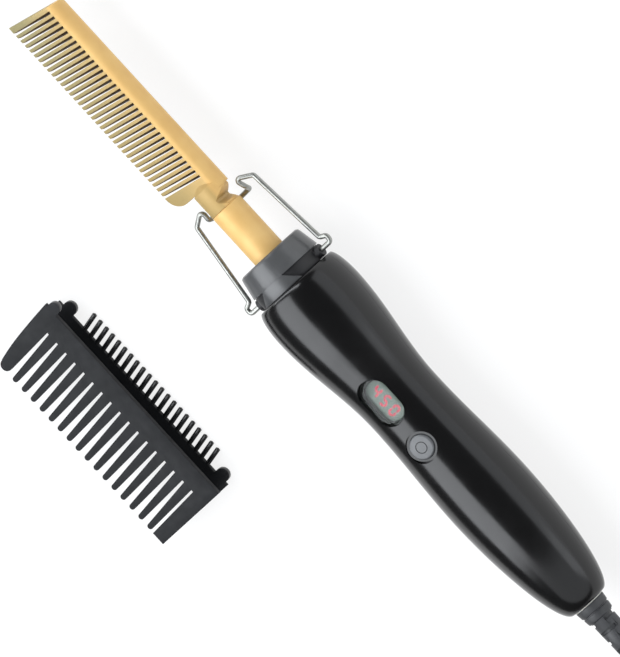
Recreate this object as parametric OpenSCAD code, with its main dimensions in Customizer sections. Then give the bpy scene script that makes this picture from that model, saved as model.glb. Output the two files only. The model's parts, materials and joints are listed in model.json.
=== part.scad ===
// Electric hot comb: a heated metal comb on a moulded handle, with a folding
// wire stand, a swivelling mains lead put away in a coil, and a clip-on comb
// guard lying beside it.
// Millimetres. +X runs from the tip of the comb to the cord, the teeth point
// to -Y, the display faces +Z and the floor is z = 0.
// Inside the place() module, x = 0 is the tip of the comb and y = z = 0 is the
// long axis of the tool.

/* [Comb head] */
// Length of the comb plate along its teeth
head_len = 88.9; // [70:0.1:110]
// From the long axis to the tips of the teeth
head_tips = 15.3; // [12:0.1:20]
// From the long axis to the back of the spine
head_spine = 7.6; // [7.2:0.1:9]
// Thickness of the spine
spine_t = 9; // [8.4:0.1:10]
// Thickness of the plate at the tooth tips
tip_t = 2.2; // [1.2:0.1:3.5]
// Number of slots between the teeth
slot_count = 35; // [10:1:36]
// Width of a slot
slot_w = 1.05; // [0.7:0.05:1.3]
// Distance from one slot to the next
slot_pitch = 2.31; // [2:0.01:2.35]
// From the long axis to the roots of the slots
slot_root = 2.8; // [0:0.1:3]
// Lean of the teeth towards the tip of the comb, degrees
tooth_rake = 12.2; // [0:0.1:13]
// Angle at which the slots are sawn through the plate, degrees off square
slot_lean = 11; // [0:0.5:12]
// Rounding of the plate's rear corner
heel_round = 6; // [2:0.5:8]

/* [Stem and heater] */
// Outer radius of the stem tube
tube_r = 6.45; // [6:0.05:7]
// Wall of the stem tube
tube_wall = 0.8; // [0.5:0.05:1]
// Length of the neck between the comb plate and the tube
neck_len = 10.2; // [8:0.1:12]
// Length of the stem tube
tube_len = 52.9; // [50:0.1:60]
// Length of the tang inside the tube
tang_len = 14; // [10:0.5:18]
// Thickness of the flat ceramic heater
heater_t = 1.3; // [1:0.1:1.4]
// Width of the flat ceramic heater
heater_w = 4.8; // [3:0.1:5]
// Length of the flat ceramic heater
heater_len = 70; // [50:1:72]

/* [Nose] */
// Length of the stem in view between the comb plate and the nose collar
stem_in_view = 32.8; // [28:0.1:40]
// Radius of the nose collar at its front
collar_front_r = 13.75; // [13:0.05:14.2]
// Radius of the nose collar at its rear
collar_rear_r = 15.1; // [14.6:0.05:15.6]
// Length of the collar's cone
collar_len = 8.7; // [7:0.1:11]
// Radius of the stand bracket's ring
bracket_r = 14.5; // [14:0.05:14.9]
// Width of the stand bracket's ring
bracket_w = 5; // [4.9:0.1:6.5]
// From the long axis to the outer face of a bracket ear
ear_reach = 16.6; // [16:0.1:18]
// Radius of a bracket ear
ear_r = 2.4; // [2:0.05:2.4]

/* [Wire stand] */
// Radius of the stand's wire
wire_r = 0.95; // [0.7:0.05:1]
// Inner spread of the legs at the pivots, from the long axis to a leg
leg_spread = 19; // [18.7:0.1:21]
// Reach of the stand from its pivots to its outer corners
stand_reach = 36.2; // [30:0.1:37]
// Radius of the wire's bends at its centre line
wire_bend = 1.15; // [1.05:0.05:1.2]

/* [Handle] */
// Length of the handle
handle_len = 153.8; // [150:0.1:170]
// Radius of the front belly
front_belly_r = 18.9; // [18.5:0.1:21]
// Radius of the waist
waist_r = 14.8; // [14.6:0.1:15.6]
// Radius of the rear belly
rear_belly_r = 16.4; // [16:0.1:18]
// Radius at the flat rear end
heel_r = 7; // [6.6:0.1:8]
// Wall of the handle shells
wall = 2.2; // [1.8:0.1:2.4]

/* [Display and button] */
// From the handle's front to the middle of the display window
display_at = 51.8; // [50:0.1:55]
// Length of the display window
window_len = 19.7; // [16:0.1:20]
// Width of the display window
window_w = 11.6; // [10.6:0.1:12]
// Height of the window glass above the long axis
glass_top = 13.2; // [12.9:0.05:13.4]
// Thickness of the window glass
glass_t = 1.3; // [1:0.1:1.5]
// From the handle's front to the middle of the button
button_at = 73; // [72.5:0.1:78]
// Radius of the power button
button_r = 4.75; // [4:0.05:5]
// Height of the button's top above the long axis
button_top = 14.7; // [14.4:0.05:15]
// Travel of the power button
button_travel = 0.8; // [0.4:0.05:0.8]

/* [Inside] */
// Clear length between the control board and the swivel's socket
board_gap = 26; // [24:0.5:28]
// Width of the control board
board_w = 20; // [16:0.5:21]
// Thickness of the control board
board_t = 1.6; // [1:0.1:1.8]
// Radius of the shell screws' shanks
screw_r = 1.25; // [1:0.05:1.4]
// Radius of the shell screws' heads
screw_head_r = 2.6; // [2.3:0.1:2.8]

/* [Cord swivel] */
// Radius of the swivel's journal
journal_r = 4.5; // [4.3:0.05:4.7]
// Running clearance of the swivel, on the radius
run_fit = 0.05; // [0.03:0.01:0.1]
// Radius of the swivel's neck through the handle
swivel_neck_r = 5.5; // [5.1:0.05:5.6]
// Length of the strain relief
relief_len = 45; // [40:1:55]
// Radius of the strain relief where it meets the handle
relief_r = 6.2; // [5.9:0.05:6.4]
// Number of rings of slots in the strain relief
relief_ribs = 8; // [5:1:9]

/* [Comb guard] */
// Length of the guard along its teeth
guard_len = 92.1; // [88:0.1:94]
// Height of the channel that takes the comb
channel_h = 9.4; // [9.3:0.1:11]
// Thickness of the toothed front plate
plate_t = 2.2; // [1.5:0.1:3]
// Thickness of the pinned rear wall
rear_t = 1.8; // [1.4:0.1:2.4]
// From the plate's top edge to the tips of the coarse teeth
plate_w = 30.9; // [28:0.1:34]
// Length of the coarse teeth
coarse_len = 23.7; // [18:0.1:24]
// Number of slots between the coarse teeth
coarse_slots = 17; // [8:1:17]
// Distance from one coarse slot to the next
coarse_pitch = 4.82; // [4:0.01:4.85]
// Number of fine pins
pin_count = 21; // [8:1:22]
// Distance from one fine pin to the next
pin_pitch = 3.3; // [2.6:0.01:3.4]
// Length of the fine pins
pin_len = 7.2; // [4:0.1:8]
// Clear floor between the handle's axis and the guard's top edge
guard_gap = 83.5; // [70:0.1:100]
// How far behind the comb's tip the guard lies
guard_behind = 80.7; // [60:0.1:100]

/* [Mains lead] */
// Diameter of the mains lead
cord_d = 6; // [5:0.1:6.2]
// Gap between neighbouring turns of the coil
turn_gap = 0.5; // [0.45:0.01:0.7]
// Radius of the coil's inner turn at the lead's centre
coil_inner_r = 24; // [24:0.5:30]
// Turns in each of the coil's two layers
turns_per_layer = 4; // [3:1:4]
// Radius of the plug's round pins
plug_pin_r = 2; // [1.9:0.05:2.4]
// Length of the plug's round pins
plug_pin_len = 19; // [17:0.5:20]
// Distance between the plug's round pins
plug_pin_gap = 18.6; // [17:0.1:19.2]

/* [Hidden] */
$fn = 48;
eps = 0.01;
fit = 0.1;
loose = 0.2;

// Places along the long axis, from the comb's tip
neck_end = head_len + neck_len;
tube_end = neck_end + tube_len;
collar_at = head_len + stem_in_view;
bracket_at = collar_at + collar_len + fit;
pivot_x = bracket_at + bracket_w / 2 + 0.2;
handle_at = bracket_at + bracket_w + loose;
handle_end = handle_at + handle_len;
display_x = handle_at + display_at;
button_x = handle_at + button_at;

// Sections of the comb head
spine_r = spine_t / 2;
spine_y = head_spine - spine_r;
heater_y = spine_y + 1.95;
heater_x = 13;
lead_turn_x = heater_x + heater_len + 1.6;
slot_slack = 0.2;
head_lead_r = 1.25;
lead_axis_x = head_len + 3.6;
spine_run = 3.3;
notch_y = 1.6;
notch_slope = 3.2;
sensor_len = 4;
sensor_r = 0.8;

// Nose
tube_clear = 0.3;
sleeve_in = tube_r + 4.55;
sleeve_out = sleeve_in + 1.1;
sleeve_end = handle_at + 5.3;
bush_len = 22;
ring_w = 1;

// Handle outline: places of its bellies and waist along the handle
front_belly_at = 12.3;
waist_at = 57.5;
heel_len = 51.5;
rear_belly_at = handle_len - heel_len;
front_step = 2.7;
outline_steps = 12;

// The handle's outer radius at a distance x from its front
function front_r(x) = front_belly_r - front_step
    + front_step * sqrt(max(0, 1 - pow(1 - x / front_belly_at, 2)));
function blend(a, b, t) = a + (b - a) * (1 - cos(180 * t)) / 2;
function heel_curve(t) = heel_r + (rear_belly_r - heel_r) * sqrt(max(0, 1 - pow(t, 1.8)));
function outer_r(x) =
    x < front_belly_at ? front_r(x) :
    x < waist_at ? blend(front_belly_r, waist_r, (x - front_belly_at) / (waist_at - front_belly_at)) :
    x < rear_belly_at ? blend(waist_r, rear_belly_r, (x - waist_at) / (rear_belly_at - waist_at)) :
    heel_curve((x - rear_belly_at) / (handle_len - rear_belly_at));

// Distances from the handle's front at which its outline has a point
front_xs = [for (i = [0 : 6]) front_belly_at * (1 - cos(15 * i))];
middle_xs = [for (i = [1 : 2 * outline_steps])
    front_belly_at + (rear_belly_at - front_belly_at) * i / (2 * outline_steps)];
heel_xs = [for (i = [1 : outline_steps])
    rear_belly_at + (handle_len - rear_belly_at) * sin(90 * i / outline_steps)];
outline_xs = concat(front_xs, middle_xs, heel_xs);
front_wall = 2.6;
rear_wall = 4.8;
cavity_from = front_wall;
cavity_to = handle_len - rear_wall;
cavity_xs = concat([cavity_from], [for (x = outline_xs) if (x > cavity_from && x < cavity_to) x],
    [cavity_to]);
seam = 0.1;

// Cord swivel, from the rear end of the handle
rear_face = handle_end - rear_wall;
spindle_flange_r = swivel_neck_r + 1.9;
spindle_flange_w = 2.3;
socket_end = rear_face - 0.3 - spindle_flange_w - 0.3;
socket_len = 19.8;
socket_at = socket_end - socket_len;
socket_r = journal_r + 3.5;
socket_flange_r = socket_r + 1.4;
socket_front = 1.5;
rib_w = 2;
rib_gap = 10;
rib_at = socket_at + 2;
ring_deep = 0.55;
slip_ring_w = 2;
slip_ring_xs = [socket_at + 7, socket_at + 13];
contact_t = 0.7;
contact_w = 1.8;
contact_z = journal_r + 1;
contact_at = socket_at - 4;
relief_at = handle_end + 0.4;
relief_end = relief_at + relief_len;

// Controls
window_rim = 1.4;
window_ledge = 0.9;
lens_seat = glass_top - glass_t - 0.05;
frame_bottom = lens_seat - 0.9;
guide_r = button_r + 2.45;
button_well_r = button_r + 1.25;
button_well_z = 13.7;
button_hole_r = button_r + 0.15;
flange_r = button_r + 0.85;
flange_top = 12.3;
flange_t = 1.1;
guide_top = flange_top + 0.15;
guide_bottom = flange_top - flange_t - button_travel - 0.1;

// Control board and what it carries
board_top = 4.6;
board_bottom = board_top - board_t;
board_x = display_x - 18;
board_end = socket_at - board_gap;
board_screw_xs = [board_x + 4.4, board_end - 6];
board_screw_r = 0.95;
board_screw_len = 6.6;
switch_h = 3.5;
plunger_top = board_top + switch_h + 1.3;
module_h = 6.1;
capacitor_back = 12;
capacitor_len = 13;
capacitor_w = 6;
capacitor_h = 9.5;

// Screws that join the shells
front_post_gap = 8;
rear_post_gap = 14;
shell_screw_xs = [tube_end + front_post_gap, socket_at - rear_post_gap];
screw_seat = -9.5;
screw_len = 16.5;
head_h = 1.8;
post_r = screw_head_r + 2;
well_deep = 30;
boss_h = 18;
boss_wall = 1.75;

// Thin insulated wires
lead_r = 0.5;
lead_bend = 0.7;
lead_y = -0.35;
lead_spread = 4.6;
lead_lift = 1.5;

// Comb guard, from the floor
guard_h = rear_t + channel_h + plate_t;
guard_x = guard_behind;
guard_y = -guard_gap;
band = plate_w - coarse_len;
web_t = 1.8;
web_y = guard_y - band + web_t;
tooth_lean = 4;
pin_lean = 10.8;
coarse_root_x = 7.8;
root_slot = 0.9;
mouth_slot = 2.5;
end_tooth_r = 2.4;
pin_r = 0.92;
pin_root_y = guard_y - 1.5;
pin_first_x = 15.5;
knob_r = 2.7;
front_knob_r = 2.4;
rear_knob_xs = [guard_x + 6.3, guard_x + guard_len - 4];

// Row frame: the long axis stands a belly's radius above the floor, and the
// origin is under the middle of the tool and its guard, the lead left out
axis_z = front_belly_r;
bulge_y = leg_spread + 2.6;
box_y_max = bulge_y + wire_r;
box_y_min = guard_y - plate_w;
origin_x = -relief_at / 2;
origin_y = -(box_y_max + box_y_min) / 2;

// Plug, and its own short relief
plug_w = 35;
plug_t = 13.8;
plug_len = 30;
plug_relief_len = 16;

// Mains lead: the tie lifts the coil a little off the floor
cord_r = cord_d / 2;
turn_pitch = cord_d + turn_gap;
tie_t = 0.8;
coil_floor = tie_t + 0.3;
coil_outer_r = coil_inner_r + turn_pitch * turns_per_layer;
coil_turns = 2 * turns_per_layer;
rings_per_turn = 24;
coil_z = coil_floor + cord_r;
layer_rise = cord_d + turn_gap;
lead_reach = 66;
coil_start = [relief_end + lead_reach, 0];
coil_centre = [coil_start.x + cord_d, coil_start.y - coil_outer_r];

// Where the lead runs from the strain relief down to the coil: places along x
// from the relief's end, each with the share of the drop still above it
lead_drop = [[0, 1], [6, 1], [15, 0.94], [24, 0.75], [33, 0.5], [42, 0.25], [51, 0.06], [60, 0], [66, 0]];

// Where the lead runs from the coil's end to the plug beside it, measured from
// that end along the floor
coil_top_z = coil_z + layer_rise;
plug_z = plug_t / 2;
tail_run = [[0, 0, coil_top_z], [6, 0, coil_top_z], [16, 0, 9.8], [26, 0, 7.6], [36, 0, 5.4],
    [46, -2, 4], [55, -7.5, 3.6], [62, -16.5, 3.8], [65.5, -27, 4.8], [66, -36, 6], [66, -44, plug_z],
    [66, -50, plug_z]];

// ---- Helpers ---------------------------------------------------------------

// Moves a piece from the tool's own axis to the row frame
module place() {
    translate([origin_x, origin_y, axis_z]) children();
}

// A cylinder along X
module bar(from, to, r) {
    translate([from, 0, 0]) rotate([0, 90, 0]) cylinder(h = to - from, r = r);
}

// A tube along X
module sleeve(from, to, r_out, r_in) {
    difference() {
        bar(from, to, r_out);
        bar(from - 1, to + 1, r_in);
    }
}

// A box from its low corner to its high corner
module block(low, high) {
    translate(low) cube(high - low);
}

// A shape turned round the long axis from [x, radius] points
module turned(points) {
    rotate([90, 0, 90]) rotate_extrude($fn = 96) polygon([for (p = points) [p.y, p.x]]);
}

// A stadium outline along X
module stadium(len, w) {
    hole_x = (len - w) / 2;
    union() {
        translate([-hole_x, -w / 2]) square([2 * hole_x, w]);
        translate([-hole_x, 0]) circle(d = w);
        translate([hole_x, 0]) circle(d = w);
    }
}

// A straight round bar between two points, or a cone where its radii differ
module rod(a, b, r, end_r = 0) {
    d = b - a;
    translate(a) rotate([0, acos(d.z / norm(d)), atan2(d.y, d.x)])
        cylinder(h = norm(d), r1 = r, r2 = end_r > 0 ? end_r : r, $fn = 20);
}

function unit(v) = v / norm(v);
function turn_of(a, b, c) = acos(min(1, max(-1, unit(b - a) * unit(c - b))));
function trim_of(a, b, c, bend) = bend * tan(turn_of(a, b, c) / 2);

// One round bend of a bar that runs from a by way of b to c, a hair thicker
// than the bar so that the two meet in a clean ring
module bend_at(a, b, c, r, bend) {
    d1 = unit(b - a);
    d2 = unit(c - b);
    inward = unit(d2 - d1 * (d1 * d2));
    axis = cross(d1, inward);
    middle = b - d1 * trim_of(a, b, c, bend) + inward * bend;
    multmatrix([[-inward.x, d1.x, axis.x, middle.x], [-inward.y, d1.y, axis.y, middle.y],
        [-inward.z, d1.z, axis.z, middle.z], [0, 0, 0, 1]])
        rotate_extrude(angle = turn_of(a, b, c), $fn = 48) translate([bend, 0]) circle(r = r + eps, $fn = 24);
}

// A round bar bent to follow points, with a round bend at each inner one
module bent_bar(pts, r, bend) {
    last = len(pts) - 1;
    trims = [for (i = [0 : last]) i == 0 || i == last ? 0 : trim_of(pts[i - 1], pts[i], pts[i + 1], bend)];
    union() {
        for (i = [0 : last - 1]) {
            along = unit(pts[i + 1] - pts[i]);
            rod(pts[i] + along * (trims[i] - 0.04), pts[i + 1] - along * (trims[i + 1] - 0.04), r);
        }
        for (i = [1 : last - 1])
            bend_at(pts[i - 1], pts[i], pts[i + 1], r, bend);
    }
}

// ---- Sweeps for the lead ----------------------------------------------------

function mid_dir(pts, i) = unit(
    (i == 0 ? pts[1] - pts[0] : unit(pts[i] - pts[i - 1]))
    + (i == len(pts) - 1 ? unit(pts[i] - pts[i - 1]) : i == 0 ? [0, 0, 0] : unit(pts[i + 1] - pts[i])));

// A ring of points round one place of a route, square to its direction
function ring_at(p, dir, r, sides) =
    let (side = unit(cross([0, 0, 1], dir)), up = cross(dir, side))
    [for (k = [0 : sides - 1]) p + r * (side * cos(360 * k / sides) + up * sin(360 * k / sides))];

// A closed tube swept along a route
module swept(pts, r, sides) {
    count = len(pts);
    rings = [for (i = [0 : count - 1]) each ring_at(pts[i], mid_dir(pts, i), r, sides)];
    skin = [for (i = [0 : count - 2]) for (k = [0 : sides - 1])
        let (a = i * sides + k, b = i * sides + (k + 1) % sides)
        each [[a, a + sides, b + sides], [a, b + sides, b]]];
    start_cap = [for (k = [1 : sides - 2]) [0, k, k + 1]];
    end_base = (count - 1) * sides;
    end_cap = [for (k = [1 : sides - 2]) [end_base, end_base + k + 1, end_base + k]];
    polyhedron(points = rings, faces = concat(skin, start_cap, end_cap));
}

// A route with each inner corner rounded off
function eased(pts, bend) = concat([pts[0]],
    [for (i = [1 : len(pts) - 2])
        let (from = pts[i] - unit(pts[i] - pts[i - 1]) * bend, to = pts[i] + unit(pts[i + 1] - pts[i]) * bend)
        each [from, from / 4 + pts[i] / 2 + to / 4, to]],
    [pts[len(pts) - 1]]);

// ---- Comb head and heater ---------------------------------------------------

// The point where a line from p touches a circle, on the side above the centre
function touch(centre, r, p) =
    let (d = p - centre, a = atan2(d.y, d.x) - acos(r / norm(d)))
    centre + r * [cos(a), sin(a)];

// The plate's section: a round spine and faces that taper to the tooth tips
module head_section() {
    tip = [-head_tips, tip_t / 2];
    edge = touch([spine_y, 0], spine_r, tip);
    rotate([90, 0, 90]) linear_extrude(head_len)
        polygon([tip, edge, [spine_y, 0], [edge.x, -edge.y], [tip.x, -tip.y]]);
    translate([0, spine_y, 0]) bar(0, head_len, spine_r);
}

// The plate's outline from above: a slanted tip and a rounded rear corner
module head_outline() {
    slant = (head_tips + head_spine) * tan(13);
    rear = head_len - heel_round;
    linear_extrude(2 * spine_t, center = true) polygon(concat(
        [[0, -head_tips]],
        [for (a = [-90 : 10 : 0]) [rear + heel_round * cos(a), -head_tips + heel_round + heel_round * sin(a)]],
        [[head_len, head_spine], [slant, head_spine]]));
}

// The slots lean, so that the upper face has them nearer the tip than the lower
module comb_slots() {
    first = 2.8;
    long = 2 * (head_tips + slot_root);
    multmatrix([[1, 0, -tan(slot_lean), 0], [0, 1, 0, 0], [0, 0, 1, 0]])
        for (i = [0 : slot_count - 1])
            translate([first + slot_w / 2 + i * slot_pitch, -head_tips, 0]) rotate([0, 0, -tooth_rake])
                translate([-slot_w / 2, -long / 2, -spine_t])
                cube([slot_w, long / 2 + (head_tips + slot_root) / cos(tooth_rake), 2 * spine_t]);
}

// The neck is as thick as the tube. A cone joins it to the plate, the spine
// runs out over it, and a notch is cut in behind the spine's end.
module comb_neck() {
    neck_r = tube_r - 0.05;
    spine_end = head_len + spine_run;
    difference() {
        union() {
            turned([[head_len - 2, 0], [head_len - 2, 3.4], [head_len + 0.6, neck_r], [neck_end, neck_r],
                [neck_end, 0]]);
            translate([0, spine_y, 0]) bar(head_len - 1, spine_end, spine_r);
        }
        linear_extrude(4 * tube_r, center = true) polygon([
            [spine_end - 0.4, head_spine + 1], [spine_end + 0.1, head_spine - 0.6],
            [spine_end + notch_slope, notch_y], [spine_end + notch_slope + 1, notch_y],
            [neck_end, 4.4], [neck_end + 1, 4.4], [neck_end + 1, head_spine + 1]]);
    }
    bar(neck_end - 1, neck_end + tang_len, tube_r - tube_wall - fit);
}

module comb_head() {
    color("goldenrod") place() difference() {
        union() {
            difference() {
                intersection() {
                    head_section();
                    head_outline();
                }
                comb_slots();
            }
            comb_neck();
        }
        heater_low = [heater_x - 1, heater_y - heater_t / 2 - slot_slack, -heater_w / 2 - slot_slack];
        heater_high = [heater_x + heater_len + 2.4, heater_y + heater_t / 2 + slot_slack,
            heater_w / 2 + slot_slack];
        block(heater_low, heater_high);
        rod([lead_turn_x, heater_y, 0], [lead_axis_x, lead_y, 0], head_lead_r);
        translate([0, lead_y, 0]) bar(lead_axis_x - 0.6, neck_end + 1, head_lead_r + eps);
        translate([0, lead_y, 0]) bar(neck_end + 0.4, neck_end + tang_len + 1, 2.6);
    }
}

module heater_strip() {
    color("white") place() block(
        [heater_x, heater_y - heater_t / 2, -heater_w / 2],
        [heater_x + heater_len, heater_y + heater_t / 2, heater_w / 2]);
}

module temperature_sensor() {
    color("orangered") place() translate([0, 1.2, 0]) bar(neck_end + 2.4, neck_end + 2.4 + sensor_len, sensor_r);
}

// Two insulated wires from the heater, through the stem, to the control board
module heater_leads() {
    color("ivory") place() for (s = [-1, 1]) swept(eased([
        [heater_x + heater_len, heater_y, 0.6 * s],
        [lead_turn_x, heater_y, 0.6 * s],
        [lead_axis_x, lead_y, 0.6 * s],
        [tube_end, lead_y, 0.6 * s],
        [tube_end + lead_spread + 0.4, lead_spread * s, lead_lift],
        [board_x - 2 * lead_lift, lead_spread * s, board_bottom + board_t / 2],
        [board_x, lead_spread * s, board_bottom + board_t / 2]], lead_bend), lead_r, 8);
}

module thermal_fuse() {
    fuse_r = 1.6;
    color("silver") place() translate([0, tube_r - tube_wall - fit - fuse_r, 0])
        bar(collar_at - 4, collar_at + 6, fuse_r);
}

// ---- Stem and nose ----------------------------------------------------------

module stem_tube() {
    color("gold") place() turned([
        [neck_end, tube_r - tube_wall], [neck_end, tube_r - 0.4], [neck_end + 0.4, tube_r],
        [tube_end, tube_r], [tube_end, tube_r - tube_wall]]);
}

// Heat-proof bush between the hot stem and the collar
module stem_bush() {
    color("saddlebrown") place() sleeve(collar_at + 3.4, collar_at + 3.4 + bush_len,
        sleeve_in - fit, tube_r + run_fit);
}

// Ring that keeps the stem from pulling out of its bush
module retaining_ring() {
    ring_at = collar_at + 3.4 + bush_len + 0.1;
    color("silver") place() sleeve(ring_at, ring_at + ring_w, tube_r + 2.6, tube_r + run_fit);
}

// The wedge on top of the nose that the collar fills and the bracket leaves
// open, widened by a clearance
module tongue_wedge(clear) {
    from = bracket_at - fit - eps;
    to = bracket_at + bracket_w;
    linear_extrude(2 * collar_rear_r) polygon([
        [from, -5.1 - clear], [to + clear, -9.4 - clear], [to + clear, 9.4 + clear], [from, 5.1 + clear]]);
}

module nose_collar() {
    cone_end = collar_at + collar_len;
    lip = 2.4;
    color("dimgray") place() union() {
        turned([
            [collar_at, tube_r + tube_clear], [collar_at, collar_front_r - 1.1],
            [collar_at + 0.5, collar_front_r - 0.3], [collar_at + 1.5, collar_front_r],
            [cone_end, collar_rear_r], [cone_end, sleeve_out], [sleeve_end, sleeve_out],
            [sleeve_end, sleeve_in], [collar_at + lip, sleeve_in], [collar_at + lip, tube_r + tube_clear]]);
        intersection() {
            sleeve(cone_end - 0.5, bracket_at + bracket_w, collar_rear_r + 0.2, sleeve_in + 0.5);
            tongue_wedge(0);
        }
    }
}

// Black ring behind the collar, with an ear each side for the stand's pivot
module stand_bracket() {
    ring_in = sleeve_out + fit;
    color("black") place() difference() {
        union() {
            bar(bracket_at, bracket_at + bracket_w, bracket_r);
            translate([pivot_x, 0, 0]) rotate([90, 0, 0]) cylinder(h = 2 * ear_reach, r = ear_r, center = true);
        }
        bar(bracket_at - 2, bracket_at + bracket_w + 2, ring_in);
        tongue_wedge(fit);
        translate([pivot_x, 0, 0]) rotate([90, 0, 0])
            cylinder(h = 2 * ear_reach + 2, r = wire_r + run_fit, center = true);
    }
}

// ---- Wire stand -------------------------------------------------------------

// The right half of the stand's wire, from the pivot to under the stem, with
// the stand folded against the tool
pin_inner = sleeve_out + 0.45;
under_tube = tube_r + wire_r + 0.5;
stand_x = pivot_x - stand_reach;
stand_half = [
    [pivot_x, pin_inner, 0],
    [pivot_x, leg_spread + 2.5, 0],
    [pivot_x - 2.5, bulge_y, -0.2],
    [pivot_x - 3.7, leg_spread, -0.4],
    [stand_x + 0.4, 15.4, -2.4],
    [stand_x - 3.3, 8.9, -1.2],
    [stand_x + 1.3, 9.9, -2.4],
    [stand_x + 2.8, 7.9, -under_tube],
    [stand_x + 3.1, 0, -under_tube]];

module stand_wire() {
    last = len(stand_half) - 1;
    left = [for (i = [0 : last - 1]) [stand_half[i].x, -stand_half[i].y, stand_half[i].z]];
    right = [for (i = [last - 1 : -1 : 0]) stand_half[i]];
    color("lightgray") place() bent_bar(concat(left, right), wire_r, wire_bend);
}

// ---- Handle -----------------------------------------------------------------

// The handle's full outer form
module handle_form() {
    turned(concat([[handle_at, 0]], [for (x = outline_xs) [handle_at + x, outer_r(x)]], [[handle_end, 0]]));
}

// Everything inside the shells' walls
module handle_cavity() {
    turned(concat([[handle_at + cavity_from, 0]], [for (x = cavity_xs) [handle_at + x, outer_r(x) - wall]],
        [[handle_at + cavity_to, 0]]));
    bar(handle_at - 1, handle_at + cavity_from + 1, sleeve_out + fit);
    bar(rear_face - 1, handle_end + 1, swivel_neck_r + fit);
}

// Two ribs that hold the swivel socket by its flange
module socket_ribs() {
    for (x = [rib_at, rib_at + rib_w + rib_gap])
        bar(x, x + rib_w, rear_belly_r);
}

// Half of space: side is 1 above the seam and -1 below it
module half_space(side) {
    reach = 2 * front_belly_r;
    low = side > 0 ? seam / 2 : -reach;
    translate([handle_at - reach, -reach, low]) cube([handle_len + 2 * reach, 2 * reach, reach - seam / 2]);
}

// The walls and ribs that both shells share
module shell_body() {
    difference() {
        handle_form();
        handle_cavity();
    }
    difference() {
        intersection() {
            socket_ribs();
            handle_form();
        }
        bar(rib_at - 1, socket_end, socket_r + fit);
    }
}

module handle_top() {
    color([0.1, 0.1, 0.11]) place() difference() {
        union() {
            intersection() {
                shell_body();
                half_space(1);
            }
            intersection() {
                union() {
                    translate([display_x, 0, frame_bottom]) linear_extrude(8)
                        stadium(window_len + 2 * window_rim, window_w + 2 * window_rim);
                    translate([button_x, 0, guide_bottom]) cylinder(h = 8, r = guide_r);
                    for (x = board_screw_xs)
                        translate([x, 0, board_top]) cylinder(h = boss_h - board_top, r = board_screw_r + boss_wall);
                    for (x = shell_screw_xs)
                        translate([x, 0, seam / 2]) cylinder(h = boss_h, r = screw_r + boss_wall);
                }
                handle_form();
            }
        }
        translate([display_x, 0, lens_seat]) linear_extrude(8) stadium(window_len, window_w);
        translate([display_x, 0, frame_bottom - 1]) linear_extrude(8)
            stadium(window_len - 2 * window_ledge, window_w - 2 * window_ledge);
        translate([button_x, 0, button_well_z]) cylinder(h = 8, r = button_well_r);
        translate([button_x, 0, guide_bottom - 1]) cylinder(h = 8, r = button_hole_r);
        translate([button_x, 0, guide_bottom - 1]) cylinder(h = guide_top - guide_bottom + 1, r = flange_r + 0.2);
        for (x = board_screw_xs)
            translate([x, 0, board_top - 1]) cylinder(h = board_screw_len - board_t + 2.6, r = board_screw_r + run_fit);
        for (x = shell_screw_xs)
            translate([x, 0, -1]) cylinder(h = screw_len + screw_seat + 1.5, r = screw_r + run_fit);
    }
}

module handle_bottom() {
    color([0.08, 0.08, 0.09]) place() difference() {
        union() {
            intersection() {
                shell_body();
                half_space(-1);
            }
            intersection() {
                for (x = shell_screw_xs)
                    translate([x, 0, -well_deep]) cylinder(h = well_deep - seam / 2, r = post_r);
                handle_form();
            }
        }
        for (x = shell_screw_xs) {
            translate([x, 0, -well_deep]) cylinder(h = well_deep + screw_seat, r = screw_head_r + 0.3);
            translate([x, 0, -well_deep]) cylinder(h = well_deep + 1, r = screw_r + 0.2);
        }
    }
}

module shell_screws() {
    color("silver") place() for (x = shell_screw_xs) {
        translate([x, 0, screw_seat - head_h]) cylinder(h = head_h, r = screw_head_r);
        translate([x, 0, screw_seat - eps]) cylinder(h = screw_len, r = screw_r);
    }
}

// ---- Display, button and board ----------------------------------------------

module display_lens() {
    color([0.5, 0.53, 0.5, 0.6]) place() translate([display_x, 0, glass_top - glass_t]) linear_extrude(glass_t)
        stadium(window_len - 2 * loose, window_w - 2 * loose);
}

module display_module() {
    color("gray") place() block([display_x - 8.7, -4.7, board_top], [display_x + 8.7, 4.7, board_top + module_h]);
}

// A cap with a flange below it that the guide keeps from coming out
module power_button() {
    color([0.12, 0.12, 0.13]) place() translate([button_x, 0, 0]) {
        translate([0, 0, flange_top - eps]) cylinder(h = button_top - flange_top - 0.4 + eps, r = button_r);
        translate([0, 0, button_top - 0.4]) cylinder(h = 0.4, r1 = button_r, r2 = button_r - 0.5);
        translate([0, 0, flange_top - flange_t]) cylinder(h = flange_t, r = flange_r);
        translate([0, 0, plunger_top + button_travel + fit])
            cylinder(h = flange_top - plunger_top - button_travel - fit - eps, r = 2);
    }
}

module button_switch() {
    color("dimgray") place() translate([button_x, 0, board_top]) {
        translate([-3, -3, 0]) cube([6, 6, switch_h]);
        translate([0, 0, switch_h - eps]) cylinder(h = plunger_top - board_top - switch_h + eps, r = 1.75);
    }
}

module control_board() {
    color("seagreen") place() difference() {
        block([board_x, -board_w / 2, board_bottom], [board_end, board_w / 2, board_top]);
        for (x = board_screw_xs)
            translate([x, 0, board_bottom - 1]) cylinder(h = board_t + 2, r = board_screw_r + 0.3);
    }
}

module board_screws() {
    color("silver") place() for (x = board_screw_xs) {
        translate([x, 0, board_bottom - 1.2]) cylinder(h = 1.2, r = 1.9);
        translate([x, 0, board_bottom - eps]) cylinder(h = board_screw_len, r = board_screw_r);
    }
}

module film_capacitor() {
    color("gold") place() block([board_end - capacitor_back - capacitor_len, -capacitor_w / 2, board_bottom - capacitor_h],
        [board_end - capacitor_back, capacitor_w / 2, board_bottom]);
}

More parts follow.
